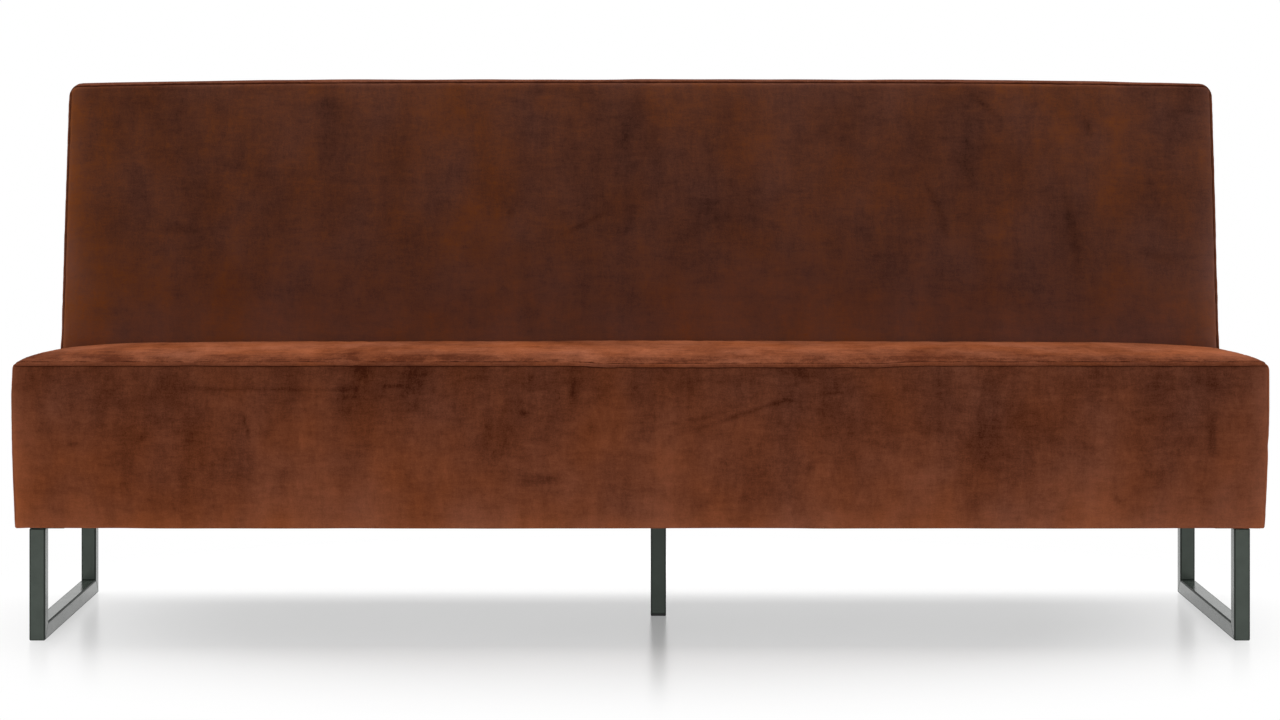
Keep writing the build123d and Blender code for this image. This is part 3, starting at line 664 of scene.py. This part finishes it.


# Painted light and shade of each cover by its height, or the seat top's by its depth, in millimetres: the
# seat's front is painted lighter towards its foot, the seat top darker at its front and lighter behind, the
# backrest lighter low down and in a thin line under its top seam, and the boxing's top strip darker
TOP_SHADE = ((-297, -0.45), (-232, -0.33), (-187, 0), (-137, 0.26), (0, 0.34))
FRONT_SHADE = (
    (203, 0.55), (211, 0.42), (220, 0.25), (234, 0.13), (251, 0.04), (286, -0.03),
    (320, -0.07), (355, -0.15), (390, -0.22), (425, -0.28), (480, -0.33),
)
BACK_SHADE = (
    (500, 0.73), (512, 0.62), (531, 0.5), (569, 0.36), (626, 0.31),
    (683, 0.21), (740, 0.09), (854, 0.03), (970, 0.05), (982, 0.4),
)
BOXING_SHADE = ((955, 0), (978, -0.75))

# Hue of the covers that face the front, by the place across and up in millimetres: more orange where the
# value is above nothing, more brown where it is below. On the backrest they also colour its painted light:
# orange at its lit left margin and cooler low down
TOP_HUE = ((0, 0.04),)
FRONT_HUE = ((-1090, 0.13), (0, 0.02), (1090, -0.075))
FRONT_HUE_UP = ((330, 0.04), (450, -0.06))
BACK_HUE = ((-1090, 0.42), (-1020, 0.33), (-975, 0.14), (-700, 0.04), (0, 0), (1090, -0.06))
BACK_HUE_UP = ((500, -0.15), (600, -0.13), (690, -0.05), (760, 0))

# Strokes in the pile, each from one place to another in millimetres, with its width and strength
FRONT_MARKS = (
    (-790, 444, -560, 443, 3, 0.5),
    (-560, 443, -380, 450, 3, 0.5),
    (0, 371, 150, 403, 3.5, 0.5),
    (90, 372, 262, 428, 3.5, 0.7),
    (262, 428, 370, 441, 3.5, 0.5),
    (-690, 402, -678, 360, 3.5, 1),
    (-995, 347, -966, 352, 5, 0.8),
    (-871, 352, -860, 366, 5, 0.7),
    (-215, 280, -130, 292, 9, 0.7),
    (292, 300, 300, 316, 8, 0.9),
    (992, 404, 996, 326, 6, 0.6),
    (822, 260, 840, 242, 3.5, 0.8),
    (-118, 430, -116, 452, 4, 0.7),
    (-206, 398, -200, 404, 5, 0.9),
)
BACK_MARKS = (
    (634, 966, 690, 914, 4, 0.5),
    (848, 926, 866, 880, 5, 0.5),
    (812, 790, 836, 622, 11, 0.5),
    (950, 661, 1026, 640, 12, 0.5),
    (548, 790, 586, 708, 5, 0.5),
    (566, 720, 592, 690, 5, 0.4),
    (-246, 742, -240, 726, 5, 0.6),
    (-150, 690, -60, 735, 5, 0.5),
    (-900, 706, -840, 700, 10, 0.4),
)

# How far the covers beside the welt stop short of the seat's front edge
BESIDE_WELT = 4.2 * MM


def seat_covers(shape, sewing):
    """The four covers of the seat, whose edges meet along the rounded edges of its body."""
    gap, hem = sewing.seam_gap, sewing.hem
    end, edge = shape.seat_end, shape.seat_edge
    # Each cover's shade and rims paint its light and shade, and its sewn values also paint shade along its
    # seams
    top = Cover(
        "seat_top_velvet",
        ("seat_top_cover", "seat_wadding", "seat_foam"),
        seat_body, 0, gap - end, end - gap,
        [(FRONT + BESIDE_WELT, edge), (JUNCTION - 2 * gap, edge)],
        sewn=(1.4, 1, 0.4, 0.4), seed=11, shade=TOP_SHADE, shade_axis=1, hue_up=TOP_HUE,
    )
    front = Cover(
        "seat_front_velvet",
        ("seat_front_cover", "seat_front_padding"),
        seat_body, 0, gap - end, end - gap,
        [(FRONT + hem, BOTTOM), (FRONT, BOTTOM), (FRONT, edge - BESIDE_WELT)],
        hems=(True, False), mitres=(1, 1), sewn=(0, 1, 0.4, 0.4), seed=12, marks=FRONT_MARKS,
        shade=FRONT_SHADE, rims=(0.85, 18, 0.6, 18), hue_across=FRONT_HUE, hue_up=FRONT_HUE_UP,
    )
    ends = [
        Cover(
            f"seat_end_velvet_{side}",
            (f"seat_end_cover_{side}", f"seat_end_padding_{side}"),
            seat_body, 1, FRONT + gap, JUNCTION + SEAT_BEHIND,
            [(turn * (end - hem), BOTTOM), (turn * end, BOTTOM), (turn * end, edge - gap)],
            hems=(True, False), mitres=(1, 0), sewn=(0, 0.4, 0.4, 0.4), seed=seed,
            rims=(0.9, 30, 0, 18),
        )
        for side, turn, seed in (("left", -1, 13), ("right", 1, 14))
    ]
    return [top, front, *ends]


def back_covers(shape, sewing):
    """The three covers of the backrest: its front, its rear, and the strip round its sides and top."""
    gap, hem = sewing.seam_gap, sewing.hem
    end, edge, depth = shape.back_end, shape.back_edge, shape.back_depth
    # Each cover's shade and rims paint its light and shade, and its sewn values also paint shade along its
    # seams
    front = Cover(
        "back_front_velvet",
        ("back_front_cover", "back_foam"),
        back_body, 0, gap - end, end - gap,
        [(0, BACK_LOW), (0, edge - gap)],
        sewn=(0, 0.5, 1, 1), seed=21, marks=BACK_MARKS,
        shade=BACK_SHADE, rims=(1.3, 32, 0.9, 18), hue_across=BACK_HUE, hue_up=BACK_HUE_UP,
    )
    rear = Cover(
        "back_rear_velvet",
        ("back_rear_cover", "back_rear_padding"),
        back_body, 0, gap - end, end - gap,
        [(depth - hem, BOTTOM), (depth, BOTTOM), (depth, edge - gap)],
        hems=(True, False), mitres=(1, 1), sewn=(0, 1, 1, 1), seed=23,
    )
    boxing = Cover(
        "back_boxing_velvet",
        ("back_boxing", "back_top_padding", "back_side_padding_left", "back_side_padding_right"),
        back_body, 1, gap / 3, depth - gap,
        [(hem - end, BOTTOM), (-end, BOTTOM), (-end, edge), (end, edge), (end, BOTTOM), (end - hem, BOTTOM)],
        hems=(True, True), mitres=(0, 1), sewn=(0, 0, 0.7, 0.7), seed=22,
        settles=False, shade=BOXING_SHADE, rims=(0.5, 10, 0, 18),
    )
    return [front, rear, boxing]


# The welt: how far it stops short of the seat's ends, its points along and round it, how thin its ends
# are, and how much and how often it swells
WELT_SEED = 31
WELT_SHORT = 2 * MM
WELT_FINEST = 1.5 * MM
WELT_SIDES = 16
WELT_END_SHARE = 0.15
WELT_WAVE_SHARE = 0.03
WELT_WAVE = 14 * MM


def sewn_welt(shape, sewing):
    """The welt: a cord in a strip of velvet, which narrows to both ends and swells a little as it runs."""
    random = np.random.default_rng(WELT_SEED)
    reach = shape.seat_end - WELT_SHORT
    along = graded(2 * reach, sewing.spacing, WELT_FINEST)
    x = along - reach
    edge = np.stack((x, np.full_like(x, FRONT), np.full_like(x, shape.seat_edge)), -1)
    outward = np.array((0, -math.sqrt(0.5), math.sqrt(0.5)))
    radius = sewing.welt_radius
    centre = seat_body(edge, shape) + outward * (sewing.welt_proud - radius)
    turns = np.linspace(0, 2 * math.pi, WELT_SIDES + 1)[:-1]
    taper = np.sqrt(np.clip(np.minimum(along, along[-1] - along) / radius, 0, 1))
    waves = ripple(random, np.linspace(0, 1, 4), along, WELT_WAVE)[0]
    girth = radius * np.maximum(taper, WELT_END_SHARE) * (1 + WELT_WAVE_SHARE * waves)
    ring = np.stack((np.zeros_like(turns), np.cos(turns), np.sin(turns)), -1)
    points = centre[None] + girth[None, :, None] * ring[:, None]
    made = closed_rod("seat_welt_velvet", points)
    store(made, "cloth", np.stack(np.broadcast_arrays(along, (turns * radius)[:, None], WELT_PLACE), -1))
    for name in ("tone", "hue"):
        store(made, name, np.zeros(points.shape[:2]))
    return made


def closed_rod(name, points):
    """A closed mesh of lines of points that lie side by side round a rod."""
    lines = numbered(*points.shape[:2])
    round_it = quads(np.concatenate((lines, lines[:1])))
    return closed_object(name, points, round_it + [lines[:, 0].tolist(), lines[::-1, -1].tolist()])


# Legs: square tubes

# A tube's corners: their radius, the steps round them, and the strip beside them that keeps the sides flat.
# The dark line of a mitre fades over a number of its bevels
TUBE_RADIUS = 2.5 * MM
TUBE_ARC_STEPS = 5
TUBE_SUPPORT = 0.5 * MM
MITRE_FADE = 3


def tube_section(half, bevel=0):
    """Outline of a square tube with rounded corners, and one where it runs round a corner, else nothing."""
    places, corners = [], []
    for quarter in range(4):
        angle = math.pi / 2 * quarter
        before = np.array((math.cos(angle), math.sin(angle)))
        after = np.array((-math.sin(angle), math.cos(angle)))
        middle = (half - TUBE_RADIUS) * (before + after)
        arc = [
            middle + (TUBE_RADIUS - bevel) * np.array((math.cos(a), math.sin(a)))
            for a in angle + np.linspace(0, math.pi / 2, TUBE_ARC_STEPS + 1)
        ]
        places += [arc[0] - TUBE_SUPPORT * after, *arc, arc[-1] - TUBE_SUPPORT * before]
        corners += [0] + [1] * len(arc) + [0]
    return np.array(places), np.array(corners)


def tube(name, stands_for, middle, axis, inward, start, stop, mitres, shade, bevel):
    """A square tube along an axis. Its ends lean by 45 degrees where they are mitred, and each mitre has a
    fine bevel, so that the ground weld shows as a line. The shade is how much painted shade darkens it at its
    two ends."""
    low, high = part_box(stands_for)
    half = (high.x - low.x) / 2
    full, corners = tube_section(half)
    small = tube_section(half, bevel)[0] * (half - bevel) / half
    ends = ((small, 0, 1), (full, bevel, 1), (full, MITRE_FADE * bevel, 0))
    lines, edges = [], []
    for place, way, mitred, end_shade, rings in (
        (start, 1, mitres[0], shade[0], ends),
        (stop, -1, mitres[1], shade[1], ends[::-1]),
    ):
        for section, gap, worn in rings:
            run = place + way * (gap + mitred * section[:, 0])
            flat = middle + section[:, :1] * np.array(inward) + section[:, 1:] * np.array((1, 0, 0))
            lines.append(flat + run[:, None] * np.array(axis))
            # Edge values: one round the corners paints a dark reflection, a mitre's rings draw the weld's own
            # dark line, and an unmitred end takes painted shade
            edges.append(np.maximum(corners, worn if mitred else end_shade))
    made = closed_rod(name, np.moveaxis(np.array(lines), 0, 1))
    store(made, "edge", np.array(edges).T)
    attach(made, ROOT)
    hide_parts(stands_for)
    return made


def leg_tubes(bevel):
    """The three tubes of each sled leg, and the centre leg's one."""
    up, back = (0, 0, 1), (0, 1, 0)
    made = []
    for side in ("left", "right"):
        low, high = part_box(f"sled_runner_{side}")
        half = (high.x - low.x) / 2
        x, axis_height = (low.x + high.x) / 2, low.z + half
        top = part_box(f"sled_front_post_{side}")[1].z
        for end, y, inward in (("front", low.y + half, (0, 1, 0)), ("rear", high.y - half, (0, -1, 0))):
            # The posts darken towards their tops: painted shade under the seat
            made.append(tube(f"sled_{end}_post_tube_{side}", f"sled_{end}_post_{side}", (x, y, 0), up, inward,
                             axis_height, top, (1, 0), (0, 0.15), bevel))
        made.append(tube(f"sled_runner_tube_{side}", f"sled_runner_{side}", (x, 0, axis_height), back, up,
                         low.y + half, high.y - half, (1, 1), (0, 0), bevel))
    low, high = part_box("centre_leg")
    middle = ((low.x + high.x) / 2, (low.y + high.y) / 2, 0)
    # The centre leg darkens, most at its top: painted shade under the seat
    made.append(tube("centre_leg_tube", "centre_leg", middle, up, back, low.z, high.z,
                     (0, 0), (0.25, 0.6), bevel))
    return made


# Materials


def add_node(tree, kind, inputs=None, output=None, **settings):
    """Adds a shader node, its kind given without ShaderNode. An input, by name or number, takes a value, or a
    link where it is given a socket. Returns the named output, or the first."""
    node = tree.nodes.new("ShaderNode" + kind)
    for name, value in settings.items():
        setattr(node, name, value)
    for key, value in (inputs or {}).items():
        named = (socket for socket in node.inputs if socket.enabled and socket.name == key)
        socket = node.inputs[key] if isinstance(key, int) else next(named)
        if isinstance(value, NodeSocket):
            tree.links.new(value, socket)
        else:
            socket.default_value = value
    return next((s for s in node.outputs if s.enabled and s.name == (output or s.name)), None)


def new_material(name):
    """An empty material, and the function that adds a node to it."""
    material = bpy.data.materials.new(name)
    material.use_nodes = True
    material.node_tree.nodes.clear()
    return material, partial(add_node, material.node_tree)


def scaled(rgb, shares=(1, 1, 1)):
    """A colour with each of its three parts scaled, and full alpha."""
    return (*(part * share for part, share in zip(rgb, shares)), 1)


# Velvet's patterns: the size of each along and across the cloth in millimetres, its detail, its roughness
# and its share of the tone. The last is the pile's grain
PATTERNS = (
    (300, 240, 1, 0.5, 0.95),
    (70, 200, 1, 0.5, 0.7),
    (30, 80, 4, 0.9, 1.18),
    (80, 26, 4, 0.9, 1.18),
    (2.2, 2.2, 1, 0.5, 0.6),
)
BRUSH_STROKES = (2, 3)
GRAIN = 4
DYE_SCALE = (1 / (120 * MM), 1 / (160 * MM), 1)
DYE_PLACE = (5, 3, 0)

# Shares of the body colour where the tone turns dark and light, through random clouds of the pile and through
# painted light and shade, and where the hue is more brown and orange, through the dye and, on the backrest,
# through the colour of its painted light
DARK_PILE_AND_SHADE, LIGHT_PILE_AND_HIGHLIGHT = (0.30, 0.20, 0.14), (2.06, 2.20, 2.30)
BROWN_HUE, ORANGE_HUE = (1, 1.19, 1.6, 1), (1, 0.81, 0.42, 1)

# Velvet of each part, a lit or shaded copy of one velvet: the tint that paints how it is lit, darker and
# cooler on the backrest and its boxing and lighter on the welt, the strength of its clouds, and how much more
# orange its light clouds are
VELVETS = {
    "velvet_seat_top": ((1.02, 1.07, 1.02), 1.9, -0.15),
    "velvet_seat": ((1, 1.07, 1.08), 1, 0),
    "velvet_back": ((0.665, 0.805, 0.97), 1.15, 0.7),
    "velvet_boxing": ((0.86, 0.96, 1.03), 1, 0),
    "velvet_welt": ((1.12, 1.16, 1.14), 1, 0),
}


def velvet(name, colours):
    """Velvet: a short dyed pile on a woven ground, steamed so that it lies in clouds. The eye sees soft
    patches, brush strokes both ways, a warm bloom where the pile's tips catch the light, and broad patches
    where the dye took more orange or more brown. Each cover's tone adds painted light and shade to the
    clouds, and each part's tint makes it a lit or a shaded copy of one velvet. The grain is drawn coarser
    than the fibres, so that it shows."""
    tint, contrast, amber = VELVETS[name]
    material, node = new_material(name)
    cloth = node("Attribute", output="Vector", attribute_name="cloth")
    # The cover's tone: painted light and shade, painted shade along its seams, and darker pressed marks
    lie = node("Attribute", output="Fac", attribute_name="tone")
    tone = lie
    reliefs = []
    for along, across, detail, roughness, weight in PATTERNS:
        place = node("Mapping", {"Vector": cloth, "Scale": (1 / (along * MM), 1 / (across * MM), 1)})
        shape = {"Scale": 1, "Detail": detail, "Roughness": roughness, "Distortion": 0.15}
        reliefs.append(node("TexNoise", {"Vector": place, **shape}))
        centred = node("Math", {0: reliefs[-1], 1: 0.5}, operation="SUBTRACT")
        tone = node("Math", {0: centred, 1: contrast * weight, 2: tone}, operation="MULTIPLY_ADD")
    # The hue turns more orange in the dye's own broad patches, in the light clouds and by the cover's hue,
    # which on the backrest also colours its painted light
    clouds = node("Math", {0: tone, 1: lie}, operation="SUBTRACT")
    place = node("Mapping", {"Vector": cloth, "Location": DYE_PLACE, "Scale": DYE_SCALE})
    dye = node("TexNoise", {"Vector": place, "Scale": 1, "Detail": 2})
    warmth = node("Math", {0: clouds, 1: amber, 2: dye}, operation="MULTIPLY_ADD")
    hue = node("Attribute", output="Fac", attribute_name="hue")
    warmth = node("Math", {0: warmth, 1: hue}, operation="ADD")
    turn = node("Mix", {"Factor": warmth, "A": BROWN_HUE, "B": ORANGE_HUE}, data_type="RGBA")
    share = node("MapRange", {"Value": tone, "From Min": -0.8, "From Max": 1.2})
    dark, light = (scaled(colours.body, np.multiply(pile, tint)) for pile in (DARK_PILE_AND_SHADE, LIGHT_PILE_AND_HIGHLIGHT))
    base = node("Mix", {"Factor": share, "A": dark, "B": light}, data_type="RGBA")
    base = node("Mix", {"Factor": 1, "A": base, "B": turn}, data_type="RGBA", blend_type="MULTIPLY")
    nap = node("Bump", {"Strength": 0.3, "Distance": 0.5 * MM, "Height": reliefs[GRAIN]})
    for stroke in BRUSH_STROKES:
        nap = node("Bump", {"Strength": 0.25, "Distance": MM, "Height": reliefs[stroke], "Normal": nap})
    sheen = {"Sheen Weight": 0.25, "Sheen Roughness": 0.4, "Sheen Tint": scaled(colours.sheen)}
    gloss = {"Roughness": 0.95, "IOR": 1.45, "Specular IOR Level": 0.15}
    shader = node("BsdfPrincipled", {"Base Color": base, "Normal": nap, **gloss, **sheen})
    node("OutputMaterial", {"Surface": shader})
    return material


def plain(name, base, second, grain, roughness, metallic=0, bump=0.2, stretch=(1, 1, 1)):
    """A finish of two close colours that run into each other in a grain of a real size in millimetres."""
    material, node = new_material(name)
    place = node("Mapping", {"Vector": node("TexCoord", output="Object"), "Scale": stretch})
    specks = node("TexNoise", {"Vector": place, "Scale": 1 / (grain * MM), "Detail": 4, "Roughness": 0.6})
    share = node("MapRange", {"Value": specks, "From Min": 0.35, "From Max": 0.65})
    one, other = (scaled(linear(value)) for value in (base, second))
    shade = node("Mix", {"Factor": share, "A": one, "B": other}, data_type="RGBA")
    rough = node("MapRange", {"Value": specks, "To Min": roughness - 0.06, "To Max": roughness + 0.06})
    relief = node("Bump", {"Strength": bump, "Distance": 0.2 * grain * MM, "Height": specks})
    coat = {"Base Color": shade, "Roughness": rough, "Metallic": metallic, "Normal": relief}
    node("OutputMaterial", {"Surface": node("BsdfPrincipled", coat)})
    return material


def powder_coat(steel):
    """Powder coat: polyester fused on steel tube, satin, with a fine orange peel. It reads as one green grey
    with clouds of gloss and mirrors the white room at low angles. It is darker along the tube's rounded
    edges, a painted dark reflection, at the ground mitres, where the line is the weld's own, and towards the
    ends that stand under the seat, a painted shade."""
    material, node = new_material("satin_powder_coat")
    # The edge attribute: painted dark reflection at the rounded edges, painted shade towards the ends, and
    # the mitres' own dark line
    edge = node("Attribute", output="Fac", attribute_name="edge")
    place = node("TexCoord", output="Object")
    peel = node("TexNoise", {"Vector": place, "Scale": 1 / (1.6 * MM), "Detail": 2})
    cloud = node("TexNoise", {"Vector": place, "Scale": 1 / (30 * MM), "Detail": 4})
    share = node("MapRange", {"Value": cloud, "From Min": 0.35, "From Max": 0.65})
    dark, light = (scaled(steel.paint, [part] * 3) for part in (0.9, 1.1))
    paint = node("Mix", {"Factor": share, "A": dark, "B": light}, data_type="RGBA")
    base = node("Mix", {"Factor": edge, "A": paint, "B": scaled(steel.edge)}, data_type="RGBA")
    smooth = node("MapRange", {"Value": cloud, "To Min": 0.14, "To Max": 0.26})
    rough = node("Math", {0: edge, 1: 0.35, 2: smooth}, operation="MULTIPLY_ADD")
    relief = node("Bump", {"Strength": 0.1, "Distance": 0.3 * MM, "Height": peel})
    gloss = {"IOR": 1.5, "Specular Tint": scaled(steel.gloss)}
    coat = {"Base Color": base, "Roughness": rough, "Normal": relief, **gloss}
    node("OutputMaterial", {"Surface": node("BsdfPrincipled", coat)})
    return material


def seen_directly(node):
    """One for light that the camera sees, straight, mirrored or through glass."""
    rays = ("Camera", "Glossy", "Transmission")
    camera, mirror, glass = (node("LightPath", output=f"Is {ray} Ray") for ray in rays)
    either = node("Math", {0: camera, 1: mirror}, operation="MAXIMUM")
    return node("Math", {0: either, 1: glass}, operation="MAXIMUM")


WHITE = (1, 1, 1, 1)


def studio_floor(stage):
    """Painted studio floor: white, smooth enough to hold a faint reflection. The camera sees it lifted to
    white, more so the further it is from the bench, and the bench's shadow stays."""
    material, node = new_material("painted_floor")
    place = node("TexCoord", output="Object")
    wear = node("TexNoise", {"Vector": place, "Scale": 2, "Detail": 3})
    rough = node("MapRange", {"Value": wear, "To Min": 0.2, "To Max": 0.26})
    coat = {"Base Color": scaled(WHITE, [0.82] * 3), "Roughness": rough, "Specular IOR Level": 0.35}
    paint = node("BsdfPrincipled", coat)
    seen = seen_directly(node)
    lift = node("MapRange", {"Value": seen, "To Min": 0, "To Max": stage.floor_lift})
    glow = node("Emission", {"Color": WHITE, "Strength": lift})
    near = node("AddShader", {0: paint, 1: glow})
    oval = node("Mapping", {"Vector": place, "Scale": (1 / stage.shadow_width, 1 / stage.shadow_depth, 1)})
    away = node("VectorMath", {0: oval}, "Value", operation="LENGTH")
    reach = {"Value": away, "From Min": 0.5, "From Max": 1}
    away = node("MapRange", reach, interpolation_type="SMOOTHSTEP")
    away = node("Math", {0: away, 1: seen}, operation="MULTIPLY")
    white = node("Emission", {"Color": WHITE, "Strength": 1})
    node("OutputMaterial", {"Surface": node("MixShader", {0: away, 1: near, 2: white})})
    return material


def give(material, *objects):
    """Puts one material on each object."""
    for made in objects:
        made.data.materials.clear()
        made.data.materials.append(material)


def nodes_named(*starts):
    """The frame's pieces whose names begin with one of these."""
    return [made for name, made in sorted(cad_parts.items()) if name.startswith(starts)]


# Stage

SENSOR_WIDTH = 36

# Lamps: the setting of each one's power, its size and place in metres, and its tilt and turn in degrees
LAMPS = {
    "overhead": ("overhead", (5, 2.4), (0, 0.95, 2.7), (0, 0)),
    "fill": ("fill", (4, 2), (-0.3, -4.2, 1.2), (85, 0)),
    "low_card": ("low_card", (2.9, 0.4), (0, -0.95, 0.03), (120, 0)),
    "left_side": ("sides", (1.6, 1.4), (-3.2, -0.2, 0.9), (90, -90)),
    "right_side": ("sides", (1.6, 1.4), (3.2, -0.2, 0.9), (90, 90)),
}


def place_camera(scene, stage):
    """A level camera whose lens is shifted, so that upright edges stay parallel."""
    lens = bpy.data.cameras.new("camera")
    lens.lens = stage.focal
    lens.sensor_width = SENSOR_WIDTH
    lens.shift_x = stage.shift_x
    lens.shift_y = stage.shift_y
    camera = bpy.data.objects.new("camera", lens)
    camera.location = (stage.camera_x, FRONT - stage.camera_distance, stage.camera_height)
    camera.rotation_euler = (math.pi / 2, 0, 0)
    scene.collection.objects.link(camera)
    scene.camera = camera


def place_lamps(scene, stage):
    """Large soft lamps that the camera and mirrors don't see."""
    for name, (setting, size, place, (tilt, turn)) in LAMPS.items():
        lamp = bpy.data.lights.new(name, "AREA")
        lamp.shape = "RECTANGLE"
        lamp.size, lamp.size_y = size
        lamp.energy = getattr(stage, setting)
        holder = bpy.data.objects.new(name, lamp)
        holder.location = place
        holder.rotation_euler = (math.radians(tilt), 0, math.radians(turn))
        holder.visible_camera = False
        holder.visible_glossy = False
        scene.collection.objects.link(holder)


def white_room(scene, stage):
    """A room that is white where it is seen and gives a weak light from all round."""
    world = bpy.data.worlds.new("studio")
    world.use_nodes = True
    world.node_tree.nodes.clear()
    node = partial(add_node, world.node_tree)
    strength = node("MapRange", {"Value": seen_directly(node), "To Min": stage.sky})
    room = node("Background", {"Color": WHITE, "Strength": strength})
    node("OutputWorld", {"Surface": room})
    scene.world = world


# Operators


def dress(covers, scene, name):
    """Sews covers of one velvet and puts them on the frame in place of its plain solids."""
    material = velvet(name, scene.bench_velvet)
    for cover in covers:
        made = sew(cover, scene.bench_shape, scene.bench_sewing)
        give(material, made)
        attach(made, ROOT)
        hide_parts(*cover.stands_for)


class BENCH_OT_seat_covers(Operator):
    """Sew the four covers of the seat"""

    bl_idname = "bench.seat_covers"
    bl_label = "Seat Covers"

    def execute(self, context):
        scene = context.scene
        top, *others = seat_covers(scene.bench_shape, scene.bench_sewing)
        dress([top], scene, "velvet_seat_top")
        dress(others, scene, "velvet_seat")
        return {"FINISHED"}


class BENCH_OT_welt(Operator):
    """Sew the welt into the seam along the seat's front edge"""

    bl_idname = "bench.welt"
    bl_label = "Welt"

    def execute(self, context):
        scene = context.scene
        made = sewn_welt(scene.bench_shape, scene.bench_sewing)
        give(velvet("velvet_welt", scene.bench_velvet), made)
        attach(made, ROOT)
        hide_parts("seat_welt")
        return {"FINISHED"}


class BENCH_OT_back_covers(Operator):
    """Sew the three covers of the backrest"""

    bl_idname = "bench.back_covers"
    bl_label = "Backrest Covers"

    def execute(self, context):
        scene = context.scene
        *broad, boxing = back_covers(scene.bench_shape, scene.bench_sewing)
        dress(broad, scene, "velvet_back")
        dress([boxing], scene, "velvet_boxing")
        return {"FINISHED"}


class BENCH_OT_legs(Operator):
    """Cut and weld the tubes of the legs, and finish their plates, glides and bolts"""

    bl_idname = "bench.legs"
    bl_label = "Legs"

    def execute(self, context):
        steel = context.scene.bench_steel
        give(powder_coat(steel), *leg_tubes(steel.bevel), *nodes_named("sled_plate", "centre_leg_plate"))
        # Zinc plate: thin bright grey with a faint cloud
        give(plain("zinc_plate", "#9A9B96", "#B1B2AC", 3, 0.34, metallic=1),
             *nodes_named("leg_bolts", "joining_"))
        # Pressed felt: matted grey fibre
        give(plain("pressed_felt", "#33302D", "#4B4743", 1.5, 0.95, bump=0.7), *nodes_named("sled_glides"))
        # Moulded polyethylene: black, slightly waxy, with a fine spark texture
        give(plain("moulded_polyethylene", "#0E0E0E", "#171717", 0.8, 0.5), *nodes_named("centre_leg_cap"))
        return {"FINISHED"}


class BENCH_OT_inside(Operator):
    """Finish the frame, the webbing and the dust covers"""

    bl_idname = "bench.inside"
    bl_label = "Frame and Dust Covers"

    def execute(self, context):
        # Planed softwood: pale, with long fibres along the board
        give(plain("planed_softwood", "#B98F5E", "#D2AC79", 12, 0.6, stretch=(0.12, 1, 1)),
             *nodes_named("seat_front_rail", "seat_rear_rail", "seat_end_rail", "seat_cross_rail",
                          "seat_corner", "leg_board", "centre_leg_board", "back_waist", "back_top_rail",
                          "back_foot", "back_joining_rail", "back_upright"))
        # Hardboard: pressed wood fibre, brown and even
        give(plain("hardboard", "#6B4A2E", "#7D5A3A", 2.5, 0.7), *nodes_named("back_rear_board"))
        # Elastic webbing: polypropylene and rubber thread, ribbed
        give(plain("elastic_webbing", "#24211E", "#37322D", 1.2, 0.85, bump=0.6),
             *nodes_named("seat_short_straps", "seat_long_straps", "back_straps"))
        # Spun-bonded cloth: black polypropylene fibre, with a fine pressed dot
        give(plain("spun_bonded_cloth", "#101010", "#1C1B1A", 1.6, 0.9, bump=0.5),
             *nodes_named("seat_dust_cover", "back_dust_cover"))
        return {"FINISHED"}


class BENCH_OT_stage(Operator):
    """Set the camera, the pale floor and the soft lamps"""

    bl_idname = "bench.stage"
    bl_label = "Stage"

    def execute(self, context):
        scene = context.scene
        stage = scene.bench_stage
        place_camera(scene, stage)
        side = stage.floor_size
        corners = [(-side, -side, 0), (side, -side, 0), (side, side, 0), (-side, side, 0)]
        floor = new_object("floor", corners, [(0, 1, 2, 3)])
        give(studio_floor(stage), floor)
        place_lamps(scene, stage)
        white_room(scene, stage)
        scene.view_settings.view_transform = "Standard"
        return {"FINISHED"}


OPERATORS = (
    BENCH_OT_seat_covers,
    BENCH_OT_welt,
    BENCH_OT_back_covers,
    BENCH_OT_legs,
    BENCH_OT_inside,
    BENCH_OT_stage,
)


class BENCH_PT_panel(Panel):
    """Lists the bench's steps and its sizes"""

    bl_label = "Dining Bench"
    bl_idname = "BENCH_PT_panel"
    bl_space_type = "VIEW_3D"
    bl_region_type = "UI"
    bl_category = "Bench"

    def draw(self, context):
        layout = self.layout
        for operator in OPERATORS:
            layout.operator(operator.bl_idname)
        for name, group in SETTINGS:
            box = layout.box()
            box.label(text=group.__doc__)
            for field in group.__annotations__:
                box.prop(getattr(context.scene, name), field)


def register():
    for name, group in SETTINGS:
        bpy.utils.register_class(group)
        setattr(bpy.types.Scene, name, PointerProperty(type=group))
    for kind in (*OPERATORS, BENCH_PT_panel):
        bpy.utils.register_class(kind)


def unregister():
    for kind in reversed((*OPERATORS, BENCH_PT_panel)):
        bpy.utils.unregister_class(kind)
    for name, group in reversed(SETTINGS):
        delattr(bpy.types.Scene, name)
        bpy.utils.unregister_class(group)


def main():
    register()
    bpy.ops.bench.seat_covers()
    bpy.ops.bench.welt()
    bpy.ops.bench.back_covers()
    bpy.ops.bench.legs()
    bpy.ops.bench.inside()
    bpy.ops.bench.stage()


if __name__ == "__main__":
    main()
